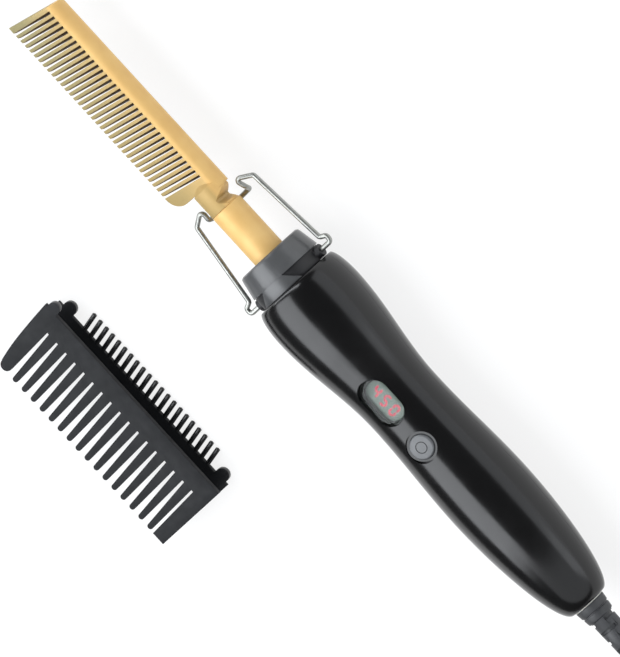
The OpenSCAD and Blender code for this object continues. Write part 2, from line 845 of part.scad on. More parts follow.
module power_triac() {
    color("black") place() block([display_x - 5, -5, board_bottom - 8], [display_x - 0.5, 5, board_bottom]);
}

// ---- Cord swivel ------------------------------------------------------------

// Two insulated wires from the swivel's contacts to the control board
module supply_leads() {
    middle = board_bottom + board_t / 2;
    contact_mid = contact_z + contact_t / 2;
    color("firebrick") place() for (s = [-1, 1]) swept(eased([
        [contact_at, 0, contact_mid * s],
        [contact_at - 2.5, 0, contact_mid * s],
        [contact_at - 6.5, 5.4 * s, 4 * s + 1],
        [board_end + 3, 5.4 * s, middle],
        [board_end, 5.4 * s, middle]], lead_bend), lead_r, 8);
}

// Leaf contacts that lie in the socket's grooves and reach to the slip rings
module contact_springs() {
    color("peru") place() for (i = [0, 1]) mirror([0, 0, i]) {
        foot_x = slip_ring_xs[i] + slip_ring_w / 2;
        block([contact_at, -contact_w / 2, contact_z], [foot_x + 0.8, contact_w / 2, contact_z + contact_t]);
        block([foot_x - 0.8, -contact_w / 2, journal_r + run_fit],
            [foot_x + 0.8, contact_w / 2, contact_z + eps]);
    }
}

module swivel_socket() {
    flange_at = rib_at + rib_w + fit;
    color("saddlebrown") place() difference() {
        union() {
            bar(socket_at, socket_end, socket_r);
            bar(flange_at, flange_at + rib_gap - 2 * fit, socket_flange_r);
        }
        bar(socket_at + socket_front, socket_end + 1, journal_r + run_fit);
        for (i = [0, 1]) mirror([0, 0, i])
            block([socket_at - 1, -contact_w / 2 - loose, 0],
                [slip_ring_xs[i] + slip_ring_w / 2 + 1.1, contact_w / 2 + loose, contact_z + contact_t + loose]);
    }
}

// The part of the swivel that turns with the cord's strain relief
module swivel_spindle() {
    flange_at = socket_end + 0.3;
    journal_at = socket_at + socket_front + 0.4;
    groove = journal_r - ring_deep;
    color("black") place() difference() {
        union() {
            bar(journal_at, flange_at + eps, journal_r);
            bar(flange_at, flange_at + spindle_flange_w, spindle_flange_r);
            bar(flange_at + spindle_flange_w - eps, relief_at - eps, swivel_neck_r);
            bar(handle_end + fit, relief_at, swivel_neck_r + 0.7);
        }
        for (x = slip_ring_xs)
            sleeve(x - 0.05, x + slip_ring_w + 0.05, journal_r + 1, groove);
    }
}

module slip_rings() {
    color("peru") place() for (x = slip_ring_xs)
        sleeve(x, x + slip_ring_w, journal_r, journal_r - ring_deep + 0.05);
}

// Part of a ring round the long axis, from one angle to another
module ring_part(from, to, r_in, r_out, start, angle) {
    rotate([start, 0, 0]) rotate([90, 0, 90]) rotate_extrude(angle = angle, $fn = 48)
        translate([r_in, from]) square([r_out - r_in, to - from]);
}

// A short smooth cone and then a sleeve that tapers towards the cord. Pairs of
// slots let it bend, each pair turned a quarter from the last.
module strain_relief() {
    cone_len = 6.2;
    plain_end = 5.9;
    slot_len = 1.3;
    slot_deep = 1;
    slot_angle = 118;
    slot_step = (relief_len - cone_len - plain_end) / relief_ribs;
    sleeve_at = relief_at + cone_len;
    sleeve_r = 4.65;
    tail_r = cord_r + 0.95;
    color([0.2, 0.2, 0.21]) place() difference() {
        turned([
            [relief_at, 0], [relief_at, relief_r], [sleeve_at, relief_r - 0.8], [sleeve_at + 0.3, sleeve_r],
            [relief_end - 0.5, tail_r], [relief_end, tail_r - 0.4], [relief_end, 0]]);
        for (i = [0 : relief_ribs - 1]) for (side = [0, 180]) {
            x = sleeve_at + 0.6 + i * slot_step;
            r = sleeve_r + (tail_r - sleeve_r) * (i + 0.5) / relief_ribs;
            ring_part(x, x + slot_len, r - slot_deep, relief_r + 1,
                side + 90 * (i % 2) - slot_angle / 2, slot_angle);
        }
    }
}

// ---- Comb guard -------------------------------------------------------------

// The x of a coarse slot's middle at its root
function slot_x(i) = guard_x + coarse_root_x + i * coarse_pitch;

// The front plate from above: a band, its ends, and coarse teeth that taper
module guard_plate_outline() {
    root_y = guard_y - band;
    tip_y = guard_y - plate_w;
    shift = coarse_len * tan(tooth_lean);
    end_x = guard_x + guard_len;
    tip_r = (coarse_pitch - mouth_slot) / 2;
    first_slot = slot_x(0) + shift - mouth_slot / 2;
    tip_at = [first_slot - end_tooth_r, tip_y + end_tooth_r];
    union() {
        polygon([[guard_x - 0.6, guard_y], [guard_x, root_y], [slot_x(0), root_y],
            [slot_x(coarse_slots - 1), root_y], [end_x, root_y], [end_x, guard_y]]);
        // The first tooth is broad, with a curved outer edge and a round tip
        polygon(concat(
            [for (t = [0 : 0.1 : 0.9]) [guard_x + 2.3 * t + 1.6 * t * t * t, root_y - coarse_len * t]],
            [[tip_at.x - end_tooth_r, tip_at.y], [first_slot, tip_at.y],
            [slot_x(0) - root_slot / 2, root_y + eps]]));
        translate(tip_at) circle(r = end_tooth_r);
        for (i = [1 : coarse_slots - 1]) {
            middle = (slot_x(i - 1) + slot_x(i)) / 2 + shift;
            polygon([[slot_x(i - 1) + root_slot / 2, root_y + eps], [middle - tip_r, tip_y + tip_r],
                [middle + tip_r, tip_y + tip_r], [slot_x(i) - root_slot / 2, root_y + eps]]);
            translate([middle, tip_y + tip_r]) circle(r = tip_r, $fn = 16);
        }
        polygon([[slot_x(coarse_slots - 1) + root_slot / 2, root_y + eps],
            [slot_x(coarse_slots - 1) + shift / 2 + root_slot, tip_y], [end_x, tip_y], [end_x, root_y + eps]]);
        translate([guard_x + 2.7, guard_y + 1.4]) circle(r = front_knob_r);
        translate([guard_x + 2.7 - front_knob_r, guard_y - 1]) square([2 * front_knob_r, 2.4]);
    }
}

// The rear wall from above: a narrow band with fine pins and two end knobs
module guard_rear_outline() {
    low = web_y - web_t;
    end_x = guard_x + guard_len;
    union() {
        polygon([[guard_x + 1.5, low], [end_x, low], [end_x, pin_root_y], [guard_x + 1.5, pin_root_y]]);
        for (x = rear_knob_xs) {
            translate([x, guard_y]) circle(r = knob_r);
            translate([x - knob_r, pin_root_y - 1]) square([2 * knob_r, guard_y - pin_root_y + 1]);
        }
    }
}

module comb_guard() {
    color([0.2, 0.2, 0.21]) translate([origin_x, origin_y, 0]) union() {
        linear_extrude(rear_t) guard_rear_outline();
        translate([guard_x + 1.5, web_y - web_t, rear_t - eps])
            cube([guard_len - 1.5, web_t, channel_h + 2 * eps]);
        translate([0, 0, rear_t + channel_h]) linear_extrude(plate_t) guard_plate_outline();
        for (i = [0 : pin_count - 1]) {
            root = [guard_x + pin_first_x + i * pin_pitch, pin_root_y - 0.5, rear_t / 2];
            tip = root + (pin_len + 0.5) * [-sin(pin_lean), cos(pin_lean), 0];
            rod(root, tip, pin_r);
            rod(tip - (tip - root) * eps, tip + unit(tip - root) * 0.4, pin_r, 0.3);
        }
    }
}

// ---- Mains lead -------------------------------------------------------------

// The coil's centre line: it spirals in on the floor, climbs a layer in the
// half turn where the spiral reverses, and spirals out on top
function coil_radius(t) = t < turns_per_layer
    ? coil_outer_r - turn_pitch * t : coil_inner_r + turn_pitch * (t - turns_per_layer);
function coil_climb(t) = blend(0, layer_rise, min(1, max(0, 2 * (t - turns_per_layer) + 0.5)));
function coil_point(t) = [
    coil_centre.x + coil_radius(t) * sin(360 * t),
    coil_centre.y + coil_radius(t) * cos(360 * t),
    coil_z + coil_climb(t)];
coil_middle = [for (i = [0 : coil_turns * rings_per_turn]) coil_point(i / rings_per_turn)];
coil_last = coil_middle[len(coil_middle) - 1];
coil_path = concat([coil_middle[0] - [cord_d, 0, 0]], coil_middle, [coil_last + [cord_d, 0, 0]]);

// Least gap between two turns of the coil, measured between its points
coil_gap = min([for (i = [0 : len(coil_middle) - 1 - rings_per_turn / 2])
    for (k = [i + rings_per_turn / 2 : len(coil_middle) - 1])
    norm(coil_middle[i] - coil_middle[k])]) - cord_d;

coil_exit = coil_path[len(coil_path) - 1];

// A long cord run is laid out on the floor, so it takes only the sideways shift
module lay() {
    translate([origin_x, origin_y, 0]) children();
}

module cord_lead() {
    pts = [for (p = lead_drop) [relief_end + p.x, 0, coil_z + p.y * (axis_z - coil_z)]];
    color([0.13, 0.13, 0.14]) lay() swept(pts, cord_r, 12);
}

module cord_coil() {
    echo(least_gap_between_turns = coil_gap);
    color([0.13, 0.13, 0.14]) lay() swept(coil_path, cord_r, 6);
}

tail_path = [for (p = tail_run) [coil_exit.x + p.x, coil_exit.y + p.y, p.z]];
tail_end = tail_path[len(tail_path) - 1];

module cord_tail() {
    color([0.13, 0.13, 0.14]) lay() swept(tail_path, cord_r, 12);
}

// A strap round the bundle of turns, on the side away from the tool
module cord_tie() {
    low_r = coil_inner_r - cord_r - 0.6;
    high_r = coil_outer_r + cord_r + 0.6;
    top = coil_z + layer_rise + cord_r + 0.3;
    color([0.1, 0.1, 0.1]) lay() translate([coil_centre.x, coil_centre.y, 0]) difference() {
        translate([-3, -high_r - tie_t, 0]) cube([6, high_r - low_r + 2 * tie_t, top + tie_t]);
        translate([-4, -high_r, tie_t]) cube([8, high_r - low_r, top - tie_t]);
    }
}

// A flat two-pin plug with its own short tapered relief
module plug_body() {
    half = plug_w / 2;
    front = -plug_relief_len - plug_len;
    color([0.13, 0.13, 0.14]) lay() translate(tail_end) {
        rotate([90, 0, 0]) rotate_extrude() polygon([
            [0, 0], [cord_r + 0.8, 0], [cord_r + 1.6, plug_relief_len + 1], [0, plug_relief_len + 1]]);
        translate([0, 0, -tail_end.z]) linear_extrude(plug_t) polygon([
            [-7, -plug_relief_len], [7, -plug_relief_len], [half, -plug_relief_len - 14], [half, front],
            [-half, front], [-half, -plug_relief_len - 14]]);
    }
}

module plug_pins() {
    front = tail_end.y - plug_relief_len - plug_len;
    color("silver") lay() for (s = [-1, 1])
        translate([tail_end.x + s * plug_pin_gap / 2, front, tail_end.z]) rotate([90, 0, 0])
            cylinder(h = plug_pin_len, r = plug_pin_r);
}

comb_head();
heater_strip();
temperature_sensor();
heater_leads();
thermal_fuse();
stem_tube();
stem_bush();
retaining_ring();
nose_collar();
stand_bracket();
stand_wire();
handle_top();
handle_bottom();
shell_screws();
display_lens();
display_module();
power_button();
button_switch();
control_board();
board_screws();
film_capacitor();
power_triac();
supply_leads();
contact_springs();
swivel_socket();
swivel_spindle();
slip_rings();
strain_relief();
comb_guard();
cord_lead();
cord_coil();
cord_tail();
cord_tie();
plug_body();
plug_pins();
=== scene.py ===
# %% [markdown]
# # An electric hot comb
#
# A hot comb is a cast metal comb with a heater in its spine, carried by a tube on a moulded handle.
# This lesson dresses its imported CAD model: smooth shells, a bent wire, a mains lead, finishes and light.
# The CAD model stays the frame of reference, so every piece is built in metres where the CAD has it.

# %% Load the frame
import json
import math

import bmesh
import bpy
from mathutils import Matrix, Vector


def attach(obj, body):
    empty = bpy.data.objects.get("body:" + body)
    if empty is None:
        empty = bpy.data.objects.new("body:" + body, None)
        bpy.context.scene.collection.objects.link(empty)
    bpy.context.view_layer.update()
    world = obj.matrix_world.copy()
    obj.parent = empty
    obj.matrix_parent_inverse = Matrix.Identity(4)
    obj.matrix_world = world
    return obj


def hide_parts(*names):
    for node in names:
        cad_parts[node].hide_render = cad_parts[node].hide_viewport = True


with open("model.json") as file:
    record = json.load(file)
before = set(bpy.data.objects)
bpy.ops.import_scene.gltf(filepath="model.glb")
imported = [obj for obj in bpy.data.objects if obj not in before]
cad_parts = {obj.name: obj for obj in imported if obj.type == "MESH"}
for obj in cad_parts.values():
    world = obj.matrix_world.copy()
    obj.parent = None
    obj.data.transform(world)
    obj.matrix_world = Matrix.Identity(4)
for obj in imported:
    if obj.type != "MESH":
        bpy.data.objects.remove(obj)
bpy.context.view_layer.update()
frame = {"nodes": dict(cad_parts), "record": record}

# %% [markdown]
# ## One ruler for the whole tool
#
# The tool's own ruler starts at the comb's tip and runs along its axis, in millimetres. The row frame has
# its origin on the floor, so one small function turns a place on the tool into a place in the scene, and
# another does it for places that lie on the floor. Parts that are copied later are made at the origin.

# %% The tool's own ruler
MM = 0.001
TIP_X, AXIS_Y, AXIS_Z = -144.95, 45.925, 18.9


def on_tool(x, y, z):
    return Vector((x + TIP_X, y + AXIS_Y, z + AXIS_Z)) * MM


def on_floor(x, y, z):
    return Vector((x + TIP_X, y + AXIS_Y, z)) * MM


def at_origin(x, y, z):
    return Vector((x, y, z)) * MM


print("comb tip at", on_tool(0, 0, 0))


# %% Put something into the scene
def placed(name, data):
    """An object that holds the data, at the origin."""
    made = bpy.data.objects.new(name, data)
    bpy.context.scene.collection.objects.link(made)
    return made


# %% [markdown]
# ## The camera comes first
#
# The photograph looks down on the tool from far away, with a long lens, and the tool lies slanted in it:
# its axis falls 47.5 degrees below the horizontal. The tool is also rolled 27 degrees to show its display.
# So the camera is turned the other way round the tool's axis, which leaves the tool level on its floor.

# %% Camera at the photograph's angle
roll = math.radians(27)
slant = math.radians(47.5)
photo_pixels, mm_per_pixel = 657, 0.355
lens_mm, film_mm = 400, 36
aim = on_tool(151.1, -6.44, 3.28)

to_camera = Vector((0, math.sin(roll), math.cos(roll)))
across = Vector((0, math.cos(roll), -math.sin(roll)))
along = Vector((1, 0, 0))
right = along * math.cos(slant) + across * math.sin(slant)
up = across * math.cos(slant) - along * math.sin(slant)

lens = bpy.data.cameras.new("camera")
lens.lens, lens.sensor_fit, lens.sensor_height = lens_mm, "VERTICAL", film_mm
camera = placed("camera", lens)
distance = photo_pixels * mm_per_pixel * MM * lens_mm / film_mm
turn = Matrix((right, up, to_camera)).transposed().to_4x4()
camera.matrix_world = Matrix.Translation(aim + to_camera * distance) @ turn
bpy.context.scene.camera = camera
print("camera is", round(distance, 2), "m away")

# %% [markdown]
# ## Helpers for meshes and curves
#
# Every finished piece ends as one mesh whose object sits at the origin. The helpers below make a mesh from
# points, bake modifiers into it, and turn a list of points into a round tube.

# %% Make a mesh object
def mesh_piece(name, points, faces, smooth=True):
    mesh = bpy.data.meshes.new(name)
    mesh.from_pydata([tuple(p) for p in points], [], faces)
    mesh.update()
    for face in mesh.polygons:
        face.use_smooth = smooth
    return placed(name, mesh)


# %% Bake modifiers into a plain mesh
def baked(piece):
    bpy.context.view_layer.update()
    graph = bpy.context.evaluated_depsgraph_get()
    mesh = bpy.data.meshes.new_from_object(piece.evaluated_get(graph), depsgraph=graph)
    piece.modifiers.clear()
    if piece.type == "MESH":
        piece.data = mesh
        return piece
    name = piece.name
    bpy.data.objects.remove(piece)
    return placed(name, mesh)


def face_outwards(piece, merge_within=1e-7, hole_sides=12):
    """Merge what doubles, take out slivers, close pinholes and turn every face outwards."""
    work = bmesh.new()
    work.from_mesh(piece.data)
    bmesh.ops.remove_doubles(work, verts=work.verts, dist=merge_within)
    bmesh.ops.dissolve_degenerate(work, edges=work.edges, dist=merge_within)
    bmesh.ops.holes_fill(work, edges=work.edges, sides=hole_sides)
    bmesh.ops.recalc_face_normals(work, faces=work.faces)
    work.to_mesh(piece.data)
    work.free()
    return piece


# %% Smooth the curved faces and keep the sharp edges
def smooth_by_angle(piece, degrees):
    work = bmesh.new()
    work.from_mesh(piece.data)
    for face in work.faces:
        face.smooth = True
    for edge in work.edges:
        sharp = len(edge.link_faces) != 2 or edge.calc_face_angle(0) > math.radians(degrees)
        edge.smooth = not sharp
    work.to_mesh(piece.data)
    work.free()
    return piece


# %% Hang a finished piece on its body
def settle(piece, body, slot, *nodes):
    """Hide the nodes that a finished piece stands for, and hang the piece on its body. The slot is not used.
    """
    if nodes:
        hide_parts(*nodes)
    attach(piece, body)
    return piece


def finished(piece, finish):
    """Give a piece one finish, and only that."""
    piece.data.materials.clear()
    piece.data.materials.append(finish)
    return piece


# %% Round the sharp edges
def edges_rounded(piece, width_mm, degrees):
    """Round each edge that is sharper than the angle."""
    bevel = piece.modifiers.new("edge", "BEVEL")
    bevel.width, bevel.segments = width_mm * MM, 2
    bevel.limit_method, bevel.angle_limit = "ANGLE", math.radians(degrees)
    return baked(piece)


def softened(node, name, width_mm, flat_degrees=0.6, merge_within=2e-6):
    """A copy of a CAD node with its loose triangles merged and its sharp edges rounded."""
    piece = placed(name, frame["nodes"][node].data.copy())
    work = bmesh.new()
    work.from_mesh(piece.data)
    bmesh.ops.remove_doubles(work, verts=work.verts, dist=merge_within)
    bmesh.ops.dissolve_limit(
        work, angle_limit=math.radians(flat_degrees), verts=work.verts, edges=work.edges, delimit={"NORMAL"}
    )
    work.to_mesh(piece.data)
    work.free()
    smooth_by_angle(edges_rounded(piece, width_mm, 32), 40)
    return settle(piece, body_of[node], slot_of[node], node)


slot_of = {part["node"]: part["material_slot"] for part in frame["record"]["subparts"]}
body_of = {n: body for body, nodes in frame["record"]["behaviour"]["bodies"].items() for n in nodes}


# %% A round tube along points
def tube_curve(name, points, radius_mm, sides):
    curve = bpy.data.curves.new(name, "CURVE")
    curve.dimensions = "3D"
    curve.bevel_depth, curve.bevel_resolution = radius_mm * MM, sides
    curve.use_fill_caps = True
    line = curve.splines.new("POLY")
    line.points.add(len(points) - 1)
    for spot, p in zip(line.points, points):
        spot.co = (*p, 1)
    line.use_smooth = True
    return placed(name, curve)


def flowing(points, steps):
    """Points on a smooth curve through the given ones."""
    ends = [points[0] * 2 - points[1], *points, points[-1] * 2 - points[-2]]
    made = []
    for a, b, c, d in zip(ends, ends[1:], ends[2:], ends[3:]):
        for k in range(steps):
            t = k / steps
            bend, twist = 2 * a - 5 * b + 4 * c - d, 3 * b - a - 3 * c + d
            made.append(0.5 * (2 * b + (c - a) * t + bend * t**2 + twist * t**3))
    return made + [points[-1]]


# %% [markdown]
# ## Helpers for Geometry Nodes
#
# A part that repeats, or that follows a path, is best grown by a node tree: the tree names its sizes, and one
# change in a number changes every copy. Each tree ends by making real geometry of its copies and giving them
# their finish. A modifier runs the tree, and the result is baked into a plain mesh straight away.

# %% Add a node with its settings and links
def add(tree, kind, inputs=None, **settings):
    node = tree.nodes.new(kind)
    for name, value in settings.items():
        setattr(node, name, value)
    for key, value in (inputs or {}).items():
        if isinstance(value, bpy.types.NodeSocket):
            tree.links.new(value, node.inputs[key])
        else:
            node.inputs[key].default_value = value
    return node


# %% Begin and end a tree
def start_tree(name, **sizes):
    """A tree with a geometry input, one input for each size, and a finish."""
    tree = bpy.data.node_groups.new(name, "GeometryNodeTree")
    kinds = {float: "NodeSocketFloat", int: "NodeSocketInt", type(None): "NodeSocketObject"}
    tree.interface.new_socket("Geometry", in_out="INPUT", socket_type="NodeSocketGeometry")
    for label, value in sizes.items():
        label, kind = label.replace("_", " "), kinds[type(value)]
        socket = tree.interface.new_socket(label, in_out="INPUT", socket_type=kind)
        if value is not None:
            socket.default_value = value
    tree.interface.new_socket("Finish", in_out="INPUT", socket_type="NodeSocketMaterial")
    tree.interface.new_socket("Geometry", in_out="OUTPUT", socket_type="NodeSocketGeometry")
    return tree, tree.nodes.new("NodeGroupInput").outputs


def end_tree(tree, given, geometry):
    real = add(tree, "GeometryNodeRealizeInstances", {"Geometry": geometry})
    dressed = add(tree, "GeometryNodeSetMaterial", {"Geometry": real.outputs[0], "Material": given["Finish"]})
    add(tree, "NodeGroupOutput", {0: dressed.outputs[0]})


# %% Run a tree on a piece and keep the result as a plain mesh
def grown(piece, tree, **values):
    change = piece.modifiers.new(tree.name, "NODES")
    change.node_group = tree
    for item in tree.interface.items_tree:
        key = item.name.replace(" ", "_")
        if item.in_out == "INPUT" and key in values:
            change[item.identifier] = values[key]
    return baked(piece)


def path_of(name, points):
    """A bare line of edges through the points, for a tree to work on."""
    mesh = bpy.data.meshes.new(name)
    mesh.from_pydata([tuple(p) for p in points], [(k, k + 1) for k in range(len(points) - 1)], [])
    return placed(name, mesh)


# %% A tree that bends a round wire along a path
wire_tree, given = start_tree("bent_round_wire", Bend_radius=0.001, Wire_radius=0.001, Facets=16, Steps=6)
line = add(wire_tree, "GeometryNodeMeshToCurve", {"Mesh": given["Geometry"]})
bent = add(wire_tree, "GeometryNodeFilletCurve", {
    "Curve": line.outputs[0], "Radius": given["Bend radius"], "Count": given["Steps"], "Limit Radius": True,
}, mode="POLY")
ring = add(wire_tree, "GeometryNodeCurvePrimitiveCircle", {
    "Resolution": given["Facets"], "Radius": given["Wire radius"],
})
skin = add(wire_tree, "GeometryNodeCurveToMesh", {
    "Curve": bent.outputs[0], "Profile Curve": ring.outputs[0], "Fill Caps": True,
})
end_tree(wire_tree, given, skin.outputs[0])
print(len(wire_tree.nodes), "nodes bend a wire")


# %% A tree that sets a copy of a part on every point
def instanced(tree, points, part):
    """The part on every point, turned and sized as the point says."""
    turn, size = [
        add(tree, "GeometryNodeInputNamedAttribute", {"Name": label}, data_type="FLOAT_VECTOR").outputs[0]
        for label in ("turn", "size")
    ]
    turned_by = add(tree, "FunctionNodeEulerToRotation", {0: turn})
    return add(tree, "GeometryNodeInstanceOnPoints", {
        "Points": points, "Instance": part, "Rotation": turned_by.outputs[0], "Scale": size,
    }).outputs[0]


copies_tree, given = start_tree("copies_on_points", Part=None)
part = add(copies_tree, "GeometryNodeObjectInfo", {"Object": given["Part"]})
end_tree(copies_tree, given, instanced(copies_tree, given["Geometry"], part.outputs["Geometry"]))


def points_with(name, spots):
    """Bare points for the tree, from a list of (place, turn, size)."""
    holder = path_of(name, [place for place, _, _ in spots])
    for label, column in (("turn", 1), ("size", 2)):
        kept = holder.data.attributes.new(label, "FLOAT_VECTOR", "POINT")
        kept.data.foreach_set("vector", [n for spot in spots for n in spot[column]])
    return holder


def copies_on(name, part, spots, finish):
    """Copies of a part, one for each (place, turn, size), as one mesh. The part itself goes."""
    made = grown(points_with(name, spots), copies_tree, Part=part, Finish=finish)
    bpy.data.objects.remove(part)
    print(name, len(spots), "copies,", len(made.data.polygons), "faces")
    return made


print(len(bpy.data.node_groups), "node trees")

# %% [markdown]
# ## The mains lead
#
# A mains lead is a stiff vinyl tube with a real length, here 2 m of 6 mm lead. Most of it is put away in a
# coil of two layers, so it stays beside the tool. The route repeats the CAD's own route: down from the
# strain relief, round the coil from outside in and out again on top, and across to the plug.

# %% The lead's route
# How far along, and how much of the way up from the floor to the tool's axis.
lead_drop = [(0, 1), (6, 1), (15, 0.94), (24, 0.75), (33, 0.5), (42, 0.25), (51, 0.06), (60, 0), (66, 0)]
relief_end, coil_low, layer_rise = 334.9, 4.1, 6.5
inner_turn, turn_pitch, layer_turns, turn_steps = 24.0, 6.5, 4, 40
coil_centre = (relief_end + lead_drop[-1][0] + 6, -inner_turn - turn_pitch * layer_turns)
coil_top = coil_low + layer_rise

drop = [on_floor(relief_end + x, 0, coil_low + share * (AXIS_Z - coil_low)) for x, share in lead_drop]


def coil_place(t):
    spread = abs(t - layer_turns)
    radius = inner_turn + turn_pitch * spread
    climb = min(1, max(0, 2 * (t - layer_turns) + 0.5))
    height = coil_low + layer_rise * (1 - math.cos(math.pi * climb)) / 2
    sideways, onwards = math.sin(2 * math.pi * t), math.cos(2 * math.pi * t)
    return on_floor(coil_centre[0] + radius * sideways, coil_centre[1] + radius * onwards, height)


coil = [coil_place(k / turn_steps) for k in range(2 * layer_turns * turn_steps + 1)]
tail_x = coil_centre[0] + 6
tail_run = [
    (0, 0, coil_top), (6, 0, coil_top), (16, 0, 9.8), (26, 0, 7.6), (36, 0, 5.4), (46, -2, 4),
    (55, -7.5, 3.6), (62, -16.5, 3.8), (65.5, -27, 4.8), (66, -36, 6), (66, -44, 6.9), (66, -50, 6.9),
]
tail = [on_floor(tail_x + x, y, z) for x, y, z in tail_run]
route = flowing(drop, 4) + coil[1:-1] + flowing(tail, 4)

# %% The lead itself
cord = face_outwards(baked(tube_curve("mains_lead", route, 3.0, 5)))
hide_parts("cord_lead", "cord_coil", "cord_tail")
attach(cord, "comb")
print("lead", len(cord.data.polygons), "faces")

# %% [markdown]
# ## Colours and finishes
#
# Each finish is built from nodes and named for what it is. Colours are written as they look on a screen,
# and one function turns them into the linear values that the renderer wants. Patterns are sized in
# millimetres and read Object coordinates, so they stay put when the camera or a joint moves.

# %% Helpers for finishes
def colour(hex_value):
    parts = [int(hex_value[i : i + 2], 16) / 255 for i in (1, 3, 5)]
    return (*[c / 12.92 if c <= 0.04045 else ((c + 0.055) / 1.055) ** 2.4 for c in parts], 1)


def start_finish(name, **shader_values):
    material = bpy.data.materials.new(name)
    material.use_nodes = True
    tree = material.node_tree
    tree.nodes.clear()
    place = add(tree, "ShaderNodeTexCoord").outputs["Object"]
    named = {key.replace("_", " "): value for key, value in shader_values.items()}
    shader = add(tree, "ShaderNodeBsdfPrincipled", named)
    add(tree, "ShaderNodeOutputMaterial", {"Surface": shader.outputs[0]})
    return material, tree, place, shader


def speckle(tree, place, size_mm, stretch=(1, 1, 1), detail=2.0):
    """A cloudy pattern whose spots are about size_mm across."""
    spread = add(tree, "ShaderNodeMapping", {"Vector": place, "Scale": stretch})
    return add(tree, "ShaderNodeTexNoise", {
        "Vector": spread.outputs[0], "Scale": 1 / (size_mm * MM), "Detail": detail,
    }).outputs["Fac"]


def between(tree, pattern, low, high):
    """The pattern's usual range, from 0.3 to 0.7, spread from low to high."""
    return add(tree, "ShaderNodeMapRange", {
        "Value": pattern, "From Min": 0.3, "From Max": 0.7, "To Min": low, "To Max": high,
    }).outputs[0]


def raised(tree, shader, pattern, depth_mm):
    bump = add(tree, "ShaderNodeBump", {"Height": pattern, "Distance": depth_mm * MM, "Strength": 1.0})
    tree.links.new(bump.outputs[0], shader.inputs["Normal"])


def mixed(tree, share, first, second):
    """From the first colour to the second. Each is a hex value or another node's colour."""
    first, second = [colour(c) if isinstance(c, str) else c for c in (first, second)]
    return add(tree, "ShaderNodeMix", {0: share, 6: first, 7: second}, data_type="RGBA").outputs[2]


def tinted(tree, shader, pattern, first, second):
    tree.links.new(mixed(tree, pattern, first, second), shader.inputs["Base Color"])


def cloudy_finish(name, tint, grain=None, pits=None, **shader_values):
    """A finish whose tint, roughness (grain) and height (pits) each follow a cloudy pattern.

    tint is (colour, colour, spots), grain (low, high, spots) and pits (depth in mm, spots), where spots are
    a size in mm and, if they need it, a stretch and a detail.
    """
    material, tree, place, shader = start_finish(name, **shader_values)
    first, second, *spots = tint
    tinted(tree, shader, between(tree, speckle(tree, place, *spots), 0, 1), first, second)
    if grain:
        low, high, *spots = grain
        tree.links.new(between(tree, speckle(tree, place, *spots), low, high), shader.inputs["Roughness"])
    if pits:
        depth, *spots = pits
        raised(tree, shader, speckle(tree, place, *spots), depth)
    print(name, len(tree.nodes), "nodes")
    return material


# %% [markdown]
# ### Gold
#
# The comb is cast aluminium with a gold-coloured ceramic coat, which is only partly like a metal: it scatters
# much of the light inside the coat, so it looks even and satin, with no mirror in it. Its teeth are tinted
# darker and greyer than the spine, more so towards their tips. The sawn slots are rougher inside, and their
# darker colour is painted shade. The stem is drawn tube, smoother than the casting, so one side of it shines.

# %% Satin gold coat of the casting
satin_gold, tree, place, shader = start_finish("satin_gold_ceramic_coat", Metallic=0.2, IOR=1.5)
gold = mixed(tree, between(tree, speckle(tree, place, 9), 0, 1), "#DCB673", "#D4AB68")
axes = add(tree, "ShaderNodeSeparateXYZ", {0: place}).outputs
# From the spine towards the teeth's tips the tint turns darker and greyer, and it is darker at the comb's tip
# than near its heel.
tint_from, tint_to, fade_from, fade_to, heel_x = 3.4, -9, 3.6, 2.4, 88.9
tip_tint = add(tree, "ShaderNodeMapRange", {
    "Value": axes["Y"], "From Min": on_tool(0, tint_from, 0).y, "From Max": on_tool(0, tint_to, 0).y,
    "To Min": 0.55, "To Max": 1,
})
faded = add(tree, "ShaderNodeMapRange", {
    "Value": axes["Y"], "From Min": on_tool(0, fade_from, 0).y, "From Max": on_tool(0, fade_to, 0).y,
})
onwards = add(tree, "ShaderNodeMapRange", {
    "Value": axes["X"], "From Min": on_tool(0, 0, 0).x, "From Max": on_tool(heel_x, 0, 0).x,
})
share = add(tree, "ShaderNodeMath", {0: tip_tint.outputs[0], 1: faded.outputs[0]}, operation="MULTIPLY")
tinted(tree, shader, share.outputs[0], gold, mixed(tree, onwards.outputs[0], "#8C835B", "#A38C58"))
tree.links.new(between(tree, speckle(tree, place, 1.2), 0.52, 0.62), shader.inputs["Roughness"])
raised(tree, shader, speckle(tree, place, 0.35), 0.004)
print(satin_gold.name, len(tree.nodes), "nodes")

# %% Sawn slots with painted shade, and the drawn stem
# The slots' finish is rougher, and its dark colour is painted shade in the slots.
sawn_gold_painted_shade = cloudy_finish(
    "sawn_gold_coat", ("#7A5C30", "#5E4522", 0.6), (0.6, 0.8, 0.5, (1, 1, 0.2)), (0.006, 0.3, (1, 1, 0.15)),
    Metallic=0.35, IOR=1.5,
)
drawn_gold = cloudy_finish(
    "drawn_gold_coated_tube", ("#DFB976", "#D8AE69", 7), (0.48, 0.56, 0.9, (0.2, 1, 1)),
    (0.003, 0.4, (0.1, 1, 1)), Metallic=0.18, IOR=1.5,
)

# %% [markdown]
# ### Steel, nickel and copper
#
# The stand is drawn steel wire, bright, with fine streaks along its length. Screws and plug pins are nickel
# plated. The springs and rings that carry the current inside are a copper alloy.

# %% Drawn steel wire, nickel plate, copper
steel = cloudy_finish(
    "drawn_steel_wire", ("#A9AAA6", "#949590", 2.5), (0.36, 0.48, 0.8, (0.2, 1, 1)),
    (0.002, 0.3, (0.15, 1, 1)), Metallic=1.0,
)
nickel = cloudy_finish(
    "nickel_plated_steel", ("#D2CFC6", "#BDB9AE", 3), pits=(0.002, 0.4, (1, 0.15, 1)),
    Metallic=1.0, Roughness=0.22,
)
copper = cloudy_finish("beryllium_copper", ("#C98A5A", "#B4744A", 1.5), Metallic=1.0, Roughness=0.32)

